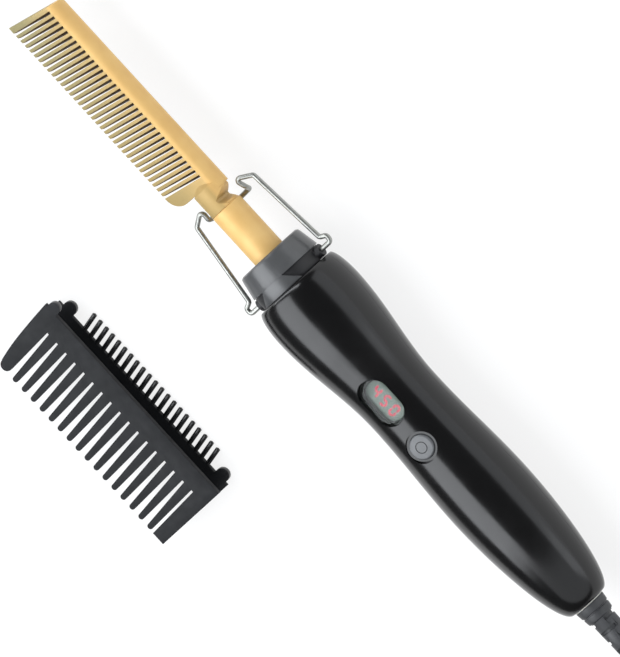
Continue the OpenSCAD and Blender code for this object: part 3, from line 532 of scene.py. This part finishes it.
# %% [markdown]
# ### Moulded plastics
#
# The handle is black ABS from a polished tool, so it is glossy with a very faint ripple. The collar is a
# satin grey heat-proof nylon. The bracket is black nylon from a spark-eroded tool, whose fine pits spread the
# light. The comb guard is black ABS with a dull top face and shinier pins, where the tool was left smooth.

# %% Glossy black handle, satin grey collar and button
gloss_black = cloudy_finish(
    "polished_black_abs", ("#060607", "#09090A", 20), (0.17, 0.22, 7), (0.004, 6), IOR=1.5
)
satin_grey = cloudy_finish(
    "satin_grey_nylon", ("#4A4B4C", "#434445", 8), pits=(0.003, 0.25), Roughness=0.3, IOR=1.62
)
button_grey = cloudy_finish(
    "satin_grey_abs", ("#5C5E60", "#545658", 3), pits=(0.002, 0.25), Roughness=0.32, IOR=1.52
)

# %% Matt black bracket, black guard
matt_black = cloudy_finish(
    "spark_eroded_black_nylon", ("#141416", "#1A1A1C", 5), pits=(0.006, 0.22), Roughness=0.5, IOR=1.5
)
guard_black = cloudy_finish(
    "fine_textured_black_abs", ("#18191B", "#1F2022", 9), (0.55, 0.66, 3), (0.004, 0.3),
    IOR=1.52, Specular_IOR_Level=0.22,
)
smooth_guard = cloudy_finish(
    "smooth_black_abs", ("#0E0F10", "#131415", 6), pits=(0.003, 2), Roughness=0.24, IOR=1.52
)

# %% [markdown]
# ### Vinyl and acetal
#
# Lead, plug and strain relief are soft vinyl, which is duller than the handle and a little grey. The swivel's
# spindle is natural acetal, off-white, because it has to run smoothly: its rim shows as a pale line.

# %% Soft vinyl and acetal
vinyl = cloudy_finish(
    "soft_black_vinyl", ("#1E1E20", "#27272A", 6), pits=(0.008, 0.4), Roughness=0.46, IOR=1.54
)
relief_vinyl = cloudy_finish(
    "soft_grey_black_vinyl", ("#3A3B3D", "#303133", 4), pits=(0.006, 0.35), Roughness=0.5, IOR=1.54
)
acetal = cloudy_finish(
    "natural_acetal", ("#DAD8CF", "#CFCCC1", 3), Roughness=0.35, IOR=1.48, Subsurface_Weight=0.1
)

# %% [markdown]
# ### What is inside
#
# The inner parts hardly show, but each gets the finish that such a part has: a white alumina heater, a brown
# phenolic bush, a green circuit board with its copper tracks under lacquer, and silicone wires.

# %% Ceramic, phenolic and circuit board
alumina = cloudy_finish("white_alumina", ("#EDEAE2", "#E2DED4", 2), Roughness=0.6)
phenolic = cloudy_finish(
    "brown_phenolic_resin", ("#5A3720", "#482A18", 1.5, (1, 1, 1), 6.0), pits=(0.01, 0.5), Roughness=0.45
)
board_lacquer, tree, place, shader = start_finish("green_lacquered_board", Roughness=0.3)
tracks = add(tree, "ShaderNodeTexWave", {"Vector": place, "Scale": 400.0, "Distortion": 6.0, "Detail": 0.0})
tinted(tree, shader, between(tree, tracks.outputs["Fac"], 0, 1), "#0F5A34", "#1B7446")
wire_skin = cloudy_finish("silicone_wire_skin", ("#8E2F28", "#7E2822", 2), Roughness=0.55)

# %% [markdown]
# ### The window
#
# The window is a thin grey-tinted acrylic pane. Under it lies a pale grey-green display face with three lit
# red digits.

# %% Window and display
window_pane = cloudy_finish(
    "grey_tinted_acrylic", ("#E4EAE6", "#DDE4DF", 6), Roughness=0.06, IOR=1.3, Transmission_Weight=1.0
)
display_face = cloudy_finish("display_face", ("#97A19C", "#8B9590", 5), Roughness=0.5)
lit_red = cloudy_finish(
    "lit_red_segments", ("#D04A60", "#C03C54", 0.8), Roughness=0.4,
    Emission_Color=colour("#E02C50"), Emission_Strength=0.6,
)
print(len(bpy.data.materials), "materials")

# %% [markdown]
# ## The handle's shells
#
# The handle is two glossy mouldings that meet in a seam. Its outline swells at the front, narrows at the
# waist, swells again and closes in a rounded heel, so a turned profile gives it exactly. A fine mesh keeps
# the reflections clean. The window, the button's pocket and the screw wells are cut from it.

# %% The handle's outline
handle_x, handle_len, wall = 135.7, 153.8, 2.2
swell_x, waist_x, belly_x = 12.3, 57.5, 102.3
rim_r, swell_r, waist_r, belly_r, heel_r = 16.2, 18.9, 14.8, 16.4, 7.0


def swing(a, b, t):
    return a + (b - a) * (1 - math.cos(math.pi * t)) / 2


def handle_radius(x):
    if x < swell_x:
        return rim_r + (swell_r - rim_r) * math.sqrt(max(0, 1 - (1 - x / swell_x) ** 2))
    if x < waist_x:
        return swing(swell_r, waist_r, (x - swell_x) / (waist_x - swell_x))
    if x < belly_x:
        return swing(waist_r, belly_r, (x - waist_x) / (belly_x - waist_x))
    share = (x - belly_x) / (handle_len - belly_x)
    return heel_r + (belly_r - heel_r) * math.sqrt(max(0, 1 - share**1.8))


def outline(step):
    front = [0.12, 0.35] + [swell_x * (1 - math.cos(math.radians(a))) for a in range(18, 90, 6)]
    steps = [swell_x + k * step for k in range(int((belly_x - swell_x) / step) + 1)]
    heel = [belly_x + (handle_len - belly_x) * math.sin(math.radians(a)) for a in range(0, 91, 2)]
    return front + [x for x in steps if x < belly_x] + heel


print("handle", handle_len, "mm long,", 2 * handle_radius(waist_x), "mm at its waist")


# %% Arcs, and faces between rows of points
def arc(radius, first, sweep, steps):
    """Points [x, y] on a circle, from an angle on, in degrees."""
    angles = [math.radians(first + sweep * k / steps) for k in range(steps + 1)]
    return [(radius * math.cos(a), radius * math.sin(a)) for a in angles]


def circle(steps, radius=1):
    return arc(radius, 0, 360, steps)[:-1]


def disc(x, radius):
    return [(x + dx, y) for dx, y in circle(64, radius)]


def stadium(x, length, width):
    half = (length - width) / 2
    ends = ((x + half, -90), (x - half, 90))
    return [(end + dx, y) for end, first in ends for dx, y in arc(width / 2, first, 180, 24)]


def rows_joined(rows, around, first=0, closed=False):
    """Faces between rows of points that go round. Closed also joins the last row to the first."""
    faces = []
    for row in range(rows if closed else rows - 1):
        a, b = [first + (row + step) % rows * around for step in (0, 1)]
        faces += [(a + k, a + (k + 1) % around, b + (k + 1) % around, b + k) for k in range(around)]
    return faces


# %% Turned and straight solids
def turned(name, profile, segments=160, place=on_tool):
    """A solid of revolution from [along, radius] points, whose first and last point lie on the axis."""
    ring = circle(segments)
    points = [place(profile[0][0], 0, 0)]
    points += [place(x, r * c, r * n) for x, r in profile[1:-1] for c, n in ring]
    points.append(place(profile[-1][0], 0, 0))
    faces, last = rows_joined(len(profile) - 2, segments, first=1), len(points) - 1
    for k in range(segments):
        n = (k + 1) % segments
        faces += [(0, 1 + n, 1 + k), (last, last - segments + k, last - segments + n)]
    return face_outwards(mesh_piece(name, points, faces))


def prism(name, outline_mm, low, high, place=on_tool, smooth=True):
    """A straight solid along Z from a closed outline of [x, y] points."""
    count = len(outline_mm)
    points = [place(x, y, z) for z in (low, high) for x, y in outline_mm]
    faces = [tuple(reversed(range(count))), tuple(range(count, 2 * count))] + rows_joined(2, count)
    return face_outwards(mesh_piece(name, points, faces, smooth))


# %% Join and cut solids
def carve(piece, tool, how):
    change = piece.modifiers.new(how, "BOOLEAN")
    change.operation, change.object, change.solver = how, tool, "EXACT"
    baked(piece)
    bpy.data.objects.remove(tool)
    return piece


# %% The two shells
front_wall, inner_end = 2.6, handle_len - 4.8
outer = [(0, 0), (0, rim_r - 0.75), (0.03, rim_r - 0.4)]
outer += [(x, handle_radius(x)) for x in outline(1.0)] + [(handle_len, 0)]
hollow_xs = [front_wall] + [x for x in outline(3.0) if front_wall < x < inner_end] + [inner_end]
hollow = [(front_wall, 0)] + [(x, handle_radius(x) - wall) for x in hollow_xs] + [(inner_end, 0)]
outer, hollow = [[(handle_x + x, r) for x, r in profile] for profile in (outer, hollow)]
half_box = [(100, -60), (300, -60), (300, 60), (100, 60)]
collar_way, relief_way = (130, 140, 12.2), (280, 292, 5.6)
shells = {}
for name, low, high in (("handle_top", 0.05, 40), ("handle_bottom", -40, -0.05)):
    shell = turned(name + "_shell", outer)
    carve(shell, turned("hollow", hollow, 96), "DIFFERENCE")
    for x0, x1, r in (collar_way, relief_way):
        carve(shell, turned("way", [(x0, 0), (x0, r), (x1, r), (x1, 0)], 96), "DIFFERENCE")
    shells[name] = carve(shell, prism("half", half_box, low, high), "INTERSECT")
print({name: len(shell.data.polygons) for name, shell in shells.items()})

# %% Window frame, button guide and screw wells
top, bottom = shells["handle_top"], shells["handle_bottom"]
window_x, button_x, screw_xs = 187.5, 208.7, (160.0, 248.0)
above, below = 20, -30
for name, shape, low, high, how in (
    ("window_frame", stadium(window_x, 22.5, 14.4), 10.95, 12.7, "UNION"),
    ("button_guide", disc(button_x, 7.2), 10.3, 13.2, "UNION"),
    ("window_cut", stadium(window_x, 19.7, 11.6), 11.85, above, "DIFFERENCE"),
    ("window_ledge", stadium(window_x, 17.9, 9.8), 9, above, "DIFFERENCE"),
    ("button_pocket", disc(button_x, 6.0), 13.7, above, "DIFFERENCE"),
    ("button_bore", disc(button_x, 4.9), 9, above, "DIFFERENCE"),
    ("flange_room", disc(button_x, 5.8), 9, 12.45, "DIFFERENCE"),
):
    carve(top, prism(name, shape, low, high), how)
for x in screw_xs:
    carve(bottom, prism("post", disc(x, 4.6), 1.2 - handle_radius(x - handle_x), -0.06), "UNION")
    carve(bottom, prism("well", disc(x, 2.9), below, -9.5), "DIFFERENCE")
    carve(bottom, prism("shank_way", disc(x, 1.45), below, 5), "DIFFERENCE")
print("openings cut:", len(top.data.polygons), "and", len(bottom.data.polygons), "faces")

# %% Round the shells' edges
for name, shell in shells.items():
    smooth_by_angle(face_outwards(edges_rounded(shell, 0.18, 35)), 38)
    settle(finished(shell, gloss_black), "comb", "black_gloss", name)
    print(name, len(shell.data.polygons), "faces")

# %% [markdown]
# ## The wire stand
#
# One length of steel wire is bent into the stand. Its rule is simple: a path of straight runs, one bend
# radius, one wire thickness. So the tree for bent wire makes it, and only the corners are written down.

# %% The stand's wire
stand_half = [
    (133.2, 12.55, 0), (133.2, 21.5, 0), (130.7, 21.6, -0.2), (129.5, 19, -0.4), (97.4, 15.4, -2.4),
    (93.7, 8.9, -1.2), (98.3, 9.9, -2.4), (99.8, 7.9, -7.9), (100.1, 0, -7.9),
]
corners = [on_tool(x, -y, z) for x, y, z in stand_half]
corners += [on_tool(*p) for p in reversed(stand_half[:-1])]
stand = grown(
    path_of("stand_wire_bent", corners), wire_tree,
    Bend_radius=1.15 * MM, Wire_radius=0.95 * MM, Facets=20, Steps=6, Finish=steel,
)
smooth_by_angle(stand, 40)
settle(stand, "stand", "steel", "stand_wire")
print("stand wire", len(stand.data.polygons), "faces")

# %% [markdown]
# ## Moulded and cast pieces
#
# The comb, stem, collar, bracket, guard, button and window keep their CAD shapes, but real edges are never
# knife sharp. Each gets a copy with its edges rounded by 0.1 to 0.16 mm, and they catch the light.

# %% Soft edges
softened_pieces = {}
for node, width, finish in (
    ("comb_head", 0.16, satin_gold), ("stem_tube", 0.1, drawn_gold), ("nose_collar", 0.12, satin_grey),
    ("stand_bracket", 0.1, matt_black), ("comb_guard", 0.15, guard_black),
    ("power_button", 0.15, button_grey), ("display_lens", 0.1, window_pane),
):
    softened_pieces[node] = finished(softened(node, node + "_soft", width), finish)
    print(node, len(softened_pieces[node].data.polygons), "faces")

# %% [markdown]
# A saw leaves the slots of the comb rougher than its tumbled faces, and their darker colour is painted shade
# inside the slots.
# The slot walls all face the same way, so they are found by their direction, and the slot's roots by their
# place.

# %% The sawn walls of the comb's slots, painted darker as shade
tooth_rake, slot_lean, slot_root = math.radians(12.2), math.radians(11), 2.8
lean = math.tan(slot_lean) * math.cos(tooth_rake)
wall_way = Vector((math.cos(tooth_rake), -math.sin(tooth_rake), lean)).normalized()
comb = softened_pieces["comb_head"]
# The second finish darkens the slot walls and roots: painted shade inside the slots.
comb.data.materials.append(sawn_gold_painted_shade)
sawn_and_shaded = 0
for face in comb.data.polygons:
    y = face.center.y / MM - AXIS_Y
    slot_wall = abs(face.normal.dot(wall_way)) > 0.985
    root = face.normal.y < -0.85 and abs(y - slot_root) < 1.2
    if slot_wall or root:
        face.material_index = 1
        sawn_and_shaded += 1
print(sawn_and_shaded, "sawn faces")

# %% [markdown]
# The guard's pins and knobs come from a smooth part of the tool, its two plates from a textured part.

# %% Smooth pins and knobs of the guard
guard = softened_pieces["comb_guard"]
guard.data.materials.append(smooth_guard)
plate_back, smooth_faces = -83.1, 0
for face in guard.data.polygons:
    if face.center.y / MM - AXIS_Y > plate_back:
        face.material_index = 1
        smooth_faces += 1
print(smooth_faces, "smooth faces")

# %% [markdown]
# ## The display
#
# Under the window lies a pale face, a long oval a little smaller than the window, on a black module. A
# seven-segment digit is one bar repeated: seven places, four of them turned upright. So each digit is a
# short list of lit places, and the tree for copies sets the same bar on all of them.

# %% The pale face
module_top, face_thick, face_x, face_y = 10.7, 0.25, window_x + 0.5, 0.35
face_outline = [(x, y + face_y) for x, y in stadium(face_x, 16.8, 9.2)]
pale = prism("display_face_plate", face_outline, module_top, module_top + face_thick)
settle(finished(smooth_by_angle(pale, 30), display_face), "comb", "grey_satin")
print("pale face", len(pale.data.polygons), "faces")

# %% A black sheet in the window, painted shade of its recess
# Its hole is off centre, so the black is widest on one side: painted shade of the window's recessed edge.
shade_sheet_shift = 0.6
window_shade_sheet = prism("window_mask", stadium(window_x, 19.2, 11.1), 11.86, 11.89)
shade_sheet_hole_outline = [(x, y + shade_sheet_shift) for x, y in stadium(window_x + 0.4, 16.6, 8.4)]
carve(window_shade_sheet, prism("mask_hole", shade_sheet_hole_outline, 11, 13), "DIFFERENCE")
settle(finished(window_shade_sheet, smooth_guard), "comb", "black_gloss")
print("window border", len(window_shade_sheet.data.polygons), "faces")

# %% Three lit digits
bar_long, bar_wide, bar_thick, digit_step = 1.9, 0.85, 0.15, 4.5
end, edge = bar_long / 2, bar_wide / 2
bar_outline = [
    (-end, 0), (edge - end, -edge), (end - edge, -edge), (end, 0), (end - edge, edge), (edge - end, edge),
]
bar = prism("lit_bar", bar_outline, 0, bar_thick, at_origin, smooth=False)
half = end + 0.09
lying, upright = (0, 0, 0), (0, 0, math.pi / 2)
places = {
    "top": (0, 2 * half, lying), "middle": (0, 0, lying), "bottom": (0, -2 * half, lying),
    "top_left": (-half, half, upright), "top_right": (half, half, upright),
    "low_left": (-half, -half, upright), "low_right": (half, -half, upright),
}
lit = {
    4: ("top_left", "top_right", "middle", "low_right"),
    5: ("top", "top_left", "middle", "low_right", "bottom"),
    0: ("top", "top_left", "top_right", "low_left", "low_right", "bottom"),
}
spots = []
for k, digit in enumerate((4, 5, 0)):
    for segment in lit[digit]:
        x, y, turn = places[segment]
        place = on_tool(face_x + (k - 1) * digit_step + x, face_y + y, module_top + face_thick)
        spots.append((place, turn, (1, 1, 1)))
digits = copies_on("display_digits", bar, spots, lit_red)
settle(digits, "comb", "grey_satin")

# %% [markdown]
# ## The button's ring
#
# A raised ring on the button lets a thumb find it. It is a small torus sunk halfway into the cap.

# %% Ring on the button
def hoop(name, x, radius, height, thick, around=64, about=12):
    section = [(radius + r, height + z) for r, z in circle(about, thick)]
    points = [on_tool(x + r * c, r * n, z) for c, n in circle(around) for r, z in section]
    return face_outwards(mesh_piece(name, points, rows_joined(around, about, closed=True)))


ring = hoop("button_ring", button_x, 2.1, 14.68, 0.16)
settle(finished(ring, smooth_guard), "button", "black_gloss")
print("button ring", len(ring.data.polygons), "faces")

# %% [markdown]
# ## The strain relief
#
# A relief is a tapered sleeve with staggered pairs of slots, which let it bend a little at every slot. The
# slots repeat by a rule, so one arc-shaped cutter is copied along the sleeve, each pair turned a quarter more
# than the last and scaled to the taper, and the tree cuts them all out.

# %% A tree that cuts copies out of a solid
cuts_tree, given = start_tree("cut_by_copies", Spots=None, Cutter=None)
spots_in, cutter_in = [
    add(cuts_tree, "GeometryNodeObjectInfo", {"Object": given[label]}).outputs["Geometry"]
    for label in ("Spots", "Cutter")
]
cutters = add(cuts_tree, "GeometryNodeRealizeInstances", {
    "Geometry": instanced(cuts_tree, spots_in, cutter_in),
})
cut = add(cuts_tree, "GeometryNodeMeshBoolean", operation="DIFFERENCE", solver="EXACT")
cuts_tree.links.new(given["Geometry"], cut.inputs["Mesh 1"])
cuts_tree.links.new(cutters.outputs[0], cut.inputs["Mesh 2"])
end_tree(cuts_tree, given, cut.outputs["Mesh"])
print(len(cuts_tree.nodes), "nodes cut the slots")

# %% The sleeve and its slots
relief_at, cone_len, sleeve_r, tail_r = 289.9, 6.2, 4.65, 3.95
slot_long, slot_deep, slot_angle, slot_pairs, plain_end = 1.3, 1.0, 118, 8, 5.9
sleeve_at = relief_at + cone_len
slot_step = (relief_end - relief_at - cone_len - plain_end) / slot_pairs
relief = turned("strain_relief_slotted", [
    (relief_at, 0), (relief_at, 5.95), (relief_at + 0.25, 6.2), (relief_at + 3, 5.85),
    (relief_at + 3.15, 5.4), (relief_at + 3.55, 5.4), (relief_at + 3.7, 5.7), (sleeve_at - 0.3, 5.42),
    (sleeve_at, 5.3), (sleeve_at + 0.3, sleeve_r), (relief_end - 0.5, tail_r),
    (relief_end - 0.12, tail_r - 0.2), (relief_end, tail_r - 0.5), (relief_end, 0),
], 96)
near, far = [arc(radius, -slot_angle / 2, slot_angle, 24) for radius in (1, 2.2)]
cutter = prism("relief_cutter", near + far[::-1], 0, slot_long, lambda y, z, x: at_origin(x, y, z))
spots = []
for k in range(slot_pairs):
    depth_r = sleeve_r + (tail_r - sleeve_r) * (k + 0.5) / slot_pairs - slot_deep
    for side in (0, math.pi):
        turn = (side + math.pi / 2 * (k % 2), 0, 0)
        spots.append((on_tool(sleeve_at + 0.6 + k * slot_step, 0, 0), turn, (1, depth_r, depth_r)))
holder = points_with("relief_spots", spots)
grown(relief, cuts_tree, Spots=holder, Cutter=cutter, Finish=relief_vinyl)
for tool in (holder, cutter):
    bpy.data.objects.remove(tool)
smooth_by_angle(edges_rounded(relief, 0.14, 40), 35)
settle(relief, "swivel", "relief_rubber", "strain_relief")
print("strain relief", len(relief.data.polygons), "faces")

# %% [markdown]
# ## The plug
#
# A moulded plug grows from the lead: a short round relief swells into a flat body with rounded sides. Such a
# body is a loft, one closed section after another, each between an ellipse and a rounded box. Its grip ribs
# repeat, so they are copies of one bar.

# %% The plug's body
plug_x, plug_y, plug_z = 478.9, -50, 6.9
stations = [  # how far back, half the width, half the height, and how square the section is
    (0.0, 3.2, 3.2, 2.0), (0.3, 3.7, 3.7, 2.0), (5, 3.95, 3.95, 2.0), (11, 4.25, 4.25, 2.0),
    (15.2, 4.5, 4.5, 2.0), (16.2, 5.2, 4.9, 2.2), (17.2, 6.6, 5.6, 2.6), (19, 8.6, 6.3, 3.0),
    (22, 11.4, 6.75, 3.4), (26, 14.6, 6.85, 3.8), (30, 17.0, 6.88, 4.2), (36, 17.45, 6.88, 4.6),
    (44.6, 17.45, 6.88, 4.6), (45.6, 17.1, 6.6, 4.4), (46, 16.4, 6.0, 4.2),
]
around = 72


def station_ring(back, half_w, half_h, power):
    bent = [[math.copysign(abs(v) ** (2 / power), v) for v in spot] for spot in circle(around)]
    return [on_floor(plug_x + half_w * c, plug_y - back, plug_z + half_h * n) for c, n in bent]


points = [p for station in stations for p in station_ring(*station)]
last_ring = len(points) - around
faces = rows_joined(len(stations), around)
faces += [tuple(range(around)), tuple(range(last_ring, last_ring + around))]
plug = smooth_by_angle(face_outwards(mesh_piece("plug_moulding", points, faces)), 42)
settle(finished(plug, vinyl), "comb", "cord_rubber", "plug_body")
print("plug", len(plug.data.polygons), "faces")

# %% Its grip ribs
rib = tube_curve("grip_rib", [at_origin(x, 0, 0) for x in (-5, -4.6, 0, 4.6, 5)], 0.45, 3)
for spot, share in zip(rib.data.splines[0].points, (0.2, 1, 1, 1, 0.2)):
    spot.radius = share
rib = face_outwards(baked(rib))
first_rib, rib_step, rib_height, rib_count = 27, 2.1, 6.78, 7
spots = []
for k in range(rib_count):
    place = on_floor(plug_x, plug_y - first_rib - rib_step * k, plug_z + rib_height)
    spots.append((place, (0, 0, 0), (1.0 + 0.13 * k, 1, 0.45)))
ribs = copies_on("plug_grip_ribs", rib, spots, vinyl)
settle(ribs, "comb", "cord_rubber")

# %% [markdown]
# ## The tie round the coil
#
# The coil is held by a flat strap. It is a rounded loop that goes under, up and over one side of the coil, so
# its section is drawn in the upright plane through the coil's centre.

# %% The strap
near_y, far_y, strap_top, strap_thick, strap_half = -20.4, -53.6, 13.9, 0.8, 3.0


def rounded_box(y0, y1, z0, z1, bend):
    y0, y1, z0, z1 = y0 + bend, y1 - bend, z0 + bend, z1 - bend
    corners = ((y1, z1, 0), (y0, z1, 90), (y0, z0, 180), (y1, z0, 270))
    return [(y + dy, z + dz) for y, z, first in corners for dy, dz in arc(bend, first, 90, 8)]


inside = rounded_box(far_y, near_y, strap_thick, strap_top, 1.2)
outside = rounded_box(far_y - strap_thick, near_y + strap_thick, 0, strap_top + strap_thick, 2.0)
loops = ((-strap_half, inside), (-strap_half, outside), (strap_half, outside), (strap_half, inside))
points = [on_floor(coil_centre[0] + x, coil_centre[1] + y, z) for x, loop in loops for y, z in loop]
faces = rows_joined(len(loops), len(inside), closed=True)
strap = face_outwards(mesh_piece("coil_strap", points, faces))
smooth_by_angle(edges_rounded(strap, 0.2, 50), 40)
settle(finished(strap, matt_black), "comb", "black_matte", "cord_tie")
print("strap", len(strap.data.polygons), "faces")

# %% [markdown]
# With its plug and strap made, the lead is complete.

# %% [markdown]
# ## Screws under the handle
#
# Two self-tapping screws hold the shells together. One screw is turned and gets a cross-shaped recess, and
# the tree for copies sets it into both wells.

# %% One screw, copied into both wells
seat, head_high, head_r, shank_r, shank_len = -9.5, 1.8, 2.6, 1.25, 16.5
rim = head_r - 0.03
screw = turned("shell_screw", [
    (-head_high, 0), (-head_high, 1.4), (-head_high + 0.25, 2.2), (-head_high + 0.9, rim), (-0.05, rim),
    (0, shank_r), (shank_len - 1.5, shank_r), (shank_len - 0.05, 0.5), (shank_len - 0.05, 0),
], 48, lambda z, x, y: at_origin(x, y, z))
blade_half, reach, recess_deep = 0.28, 1.25, 1.0
quarter = [(blade_half, reach), (-blade_half, reach), (-blade_half, blade_half)]
cross = [((x, y), (-y, x), (-x, -y), (y, -x))[k] for k in range(4) for x, y in quarter]
carve(screw, prism("recess", cross, -head_high - 1, -head_high + recess_deep, at_origin), "DIFFERENCE")
smooth_by_angle(face_outwards(screw), 35)
spots = [(on_tool(x, 0, seat), (0, 0, 0.6 + 0.5 * k), (1, 1, 1)) for k, x in enumerate(screw_xs)]
screws = copies_on("shell_screws_turned", screw, spots, nickel)
settle(screws, "comb", "steel", "shell_screws")

# %% [markdown]
# ## Finishes for the CAD nodes that stay
#
# The other nodes have the right shape already, so each keeps its solid and only gets its finish.

# %% Finish the rest
finishes = {
    "heater_strip": alumina, "temperature_sensor": alumina, "heater_leads": wire_skin, "thermal_fuse": nickel,
    "stem_bush": phenolic, "retaining_ring": nickel, "display_module": matt_black,
    "button_switch": matt_black, "control_board": board_lacquer, "board_screws": nickel,
    "film_capacitor": phenolic, "power_triac": matt_black, "supply_leads": wire_skin,
    "contact_springs": copper, "swivel_socket": phenolic, "swivel_spindle": acetal, "slip_rings": copper,
    "plug_pins": nickel,
}
for node, finish in finishes.items():
    for holder in frame["nodes"][node].material_slots:
        holder.material = finish
cord.data.materials.append(vinyl)
print(len(finishes), "nodes finished")

# %% [markdown]
# ## Light and floor
#
# The photograph has a bare white background. The floor is a large plain sheet. What the camera and shiny
# surfaces see of it is near white with a faint shadow, and it throws light on the tool like a pale table.

# %% Floor
floor_half = 6
floor_corners = [(floor_half * x, floor_half * y, 0) for x, y in ((-1, -1), (1, -1), (1, 1), (-1, 1))]
floor = mesh_piece("floor", floor_corners, [(0, 1, 2, 3)])
paper = bpy.data.materials.new("white_paper")
paper.use_nodes = True
tree = paper.node_tree
tree.nodes.clear()
floor_share, floor_glow = "#7C7C7C", 0.8
ray = add(tree, "ShaderNodeLightPath")
seen = ray.outputs["Is Camera Ray"]
for kind in ("Is Transmission Ray", "Is Glossy Ray"):
    seen = add(tree, "ShaderNodeMath", {0: seen, 1: ray.outputs[kind]}, operation="MAXIMUM").outputs[0]
faint = add(tree, "ShaderNodeBsdfDiffuse", {"Color": colour(floor_share)})
white = add(tree, "ShaderNodeEmission", {"Color": (1, 1, 1, 1), "Strength": floor_glow})
both = add(tree, "ShaderNodeAddShader", {0: faint.outputs[0], 1: white.outputs[0]})
plain = add(tree, "ShaderNodeBsdfDiffuse", {"Color": colour("#F0F0F0")})
chosen = add(tree, "ShaderNodeMixShader", {0: seen, 1: plain.outputs[0], 2: both.outputs[0]})
add(tree, "ShaderNodeOutputMaterial", {"Surface": chosen.outputs[0]})
floor.data.materials.append(paper)
print("floor", 2 * floor_half, "m wide")

# %% [markdown]
# Broad soft lamps stand on both sides of the tool, as the handle in the photograph shows: one broad pale
# streak on the left, a wide dim band on the right and a deep black core between them. A dim one past the
# heel greys the core towards the lead, and a small one past the comb lights the handle's front edge. Light
# from above only fills in, like light from a high ceiling.

# %% Lamps
room_light, lamp_colour = 0.14, (0.93, 0.96, 1.0)
world = bpy.data.worlds.new("room")
world.use_nodes = True
background = world.node_tree.nodes["Background"]
background.inputs["Color"].default_value = (1, 1, 1, 1)
background.inputs["Strength"].default_value = room_light
bpy.context.scene.world = world
bpy.context.scene.view_settings.view_transform = "Standard"


def softbox(name, angle, reach, length, width, brightness, shift=0.0, tilt=0.0):
    """A lamp of this length and width in metres.

    Its angle goes round the tool's axis from the camera, and reach is how far it stands from the tool. Shift
    moves it along the tool, and tilt leans it towards the lead.
    """
    lamp = bpy.data.lights.new(name, "AREA")
    lamp.shape, lamp.size, lamp.size_y = "RECTANGLE", length, width
    lamp.energy = brightness * math.pi * length * width
    lamp.color = lamp_colour
    holder = placed(name, lamp)
    a, b = math.radians(angle), math.radians(tilt)
    direction = (to_camera * math.cos(a) + across * math.sin(a)) * math.cos(b) + along * math.sin(b)
    side = direction.cross(along).normalized()
    turn = Matrix((side.cross(direction), side, direction)).transposed().to_4x4()
    middle = on_tool(150, 0, 0) + along * shift
    holder.matrix_world = Matrix.Translation(middle + direction * reach) @ turn
    print(name, round(lamp.energy, 1), "W")
    return holder


softbox("left_softbox", -59, 1.2, 1.4, 1.1, 4.2, shift=-0.3)
softbox("right_softbox", 78, 1.2, 1.8, 2.2, 1.2)
softbox("heel_softbox", 0, 1.4, 1.0, 3.8, 0.85, tilt=42)
softbox("front_softbox", -52, 1.3, 0.28, 1.8, 6.0, tilt=-60)
fill = softbox("overhead_fill", 12, 2.5, 1.5, 1.5, 2.0)
fill.visible_glossy = False

# %% Update the scene
bpy.context.view_layer.update()
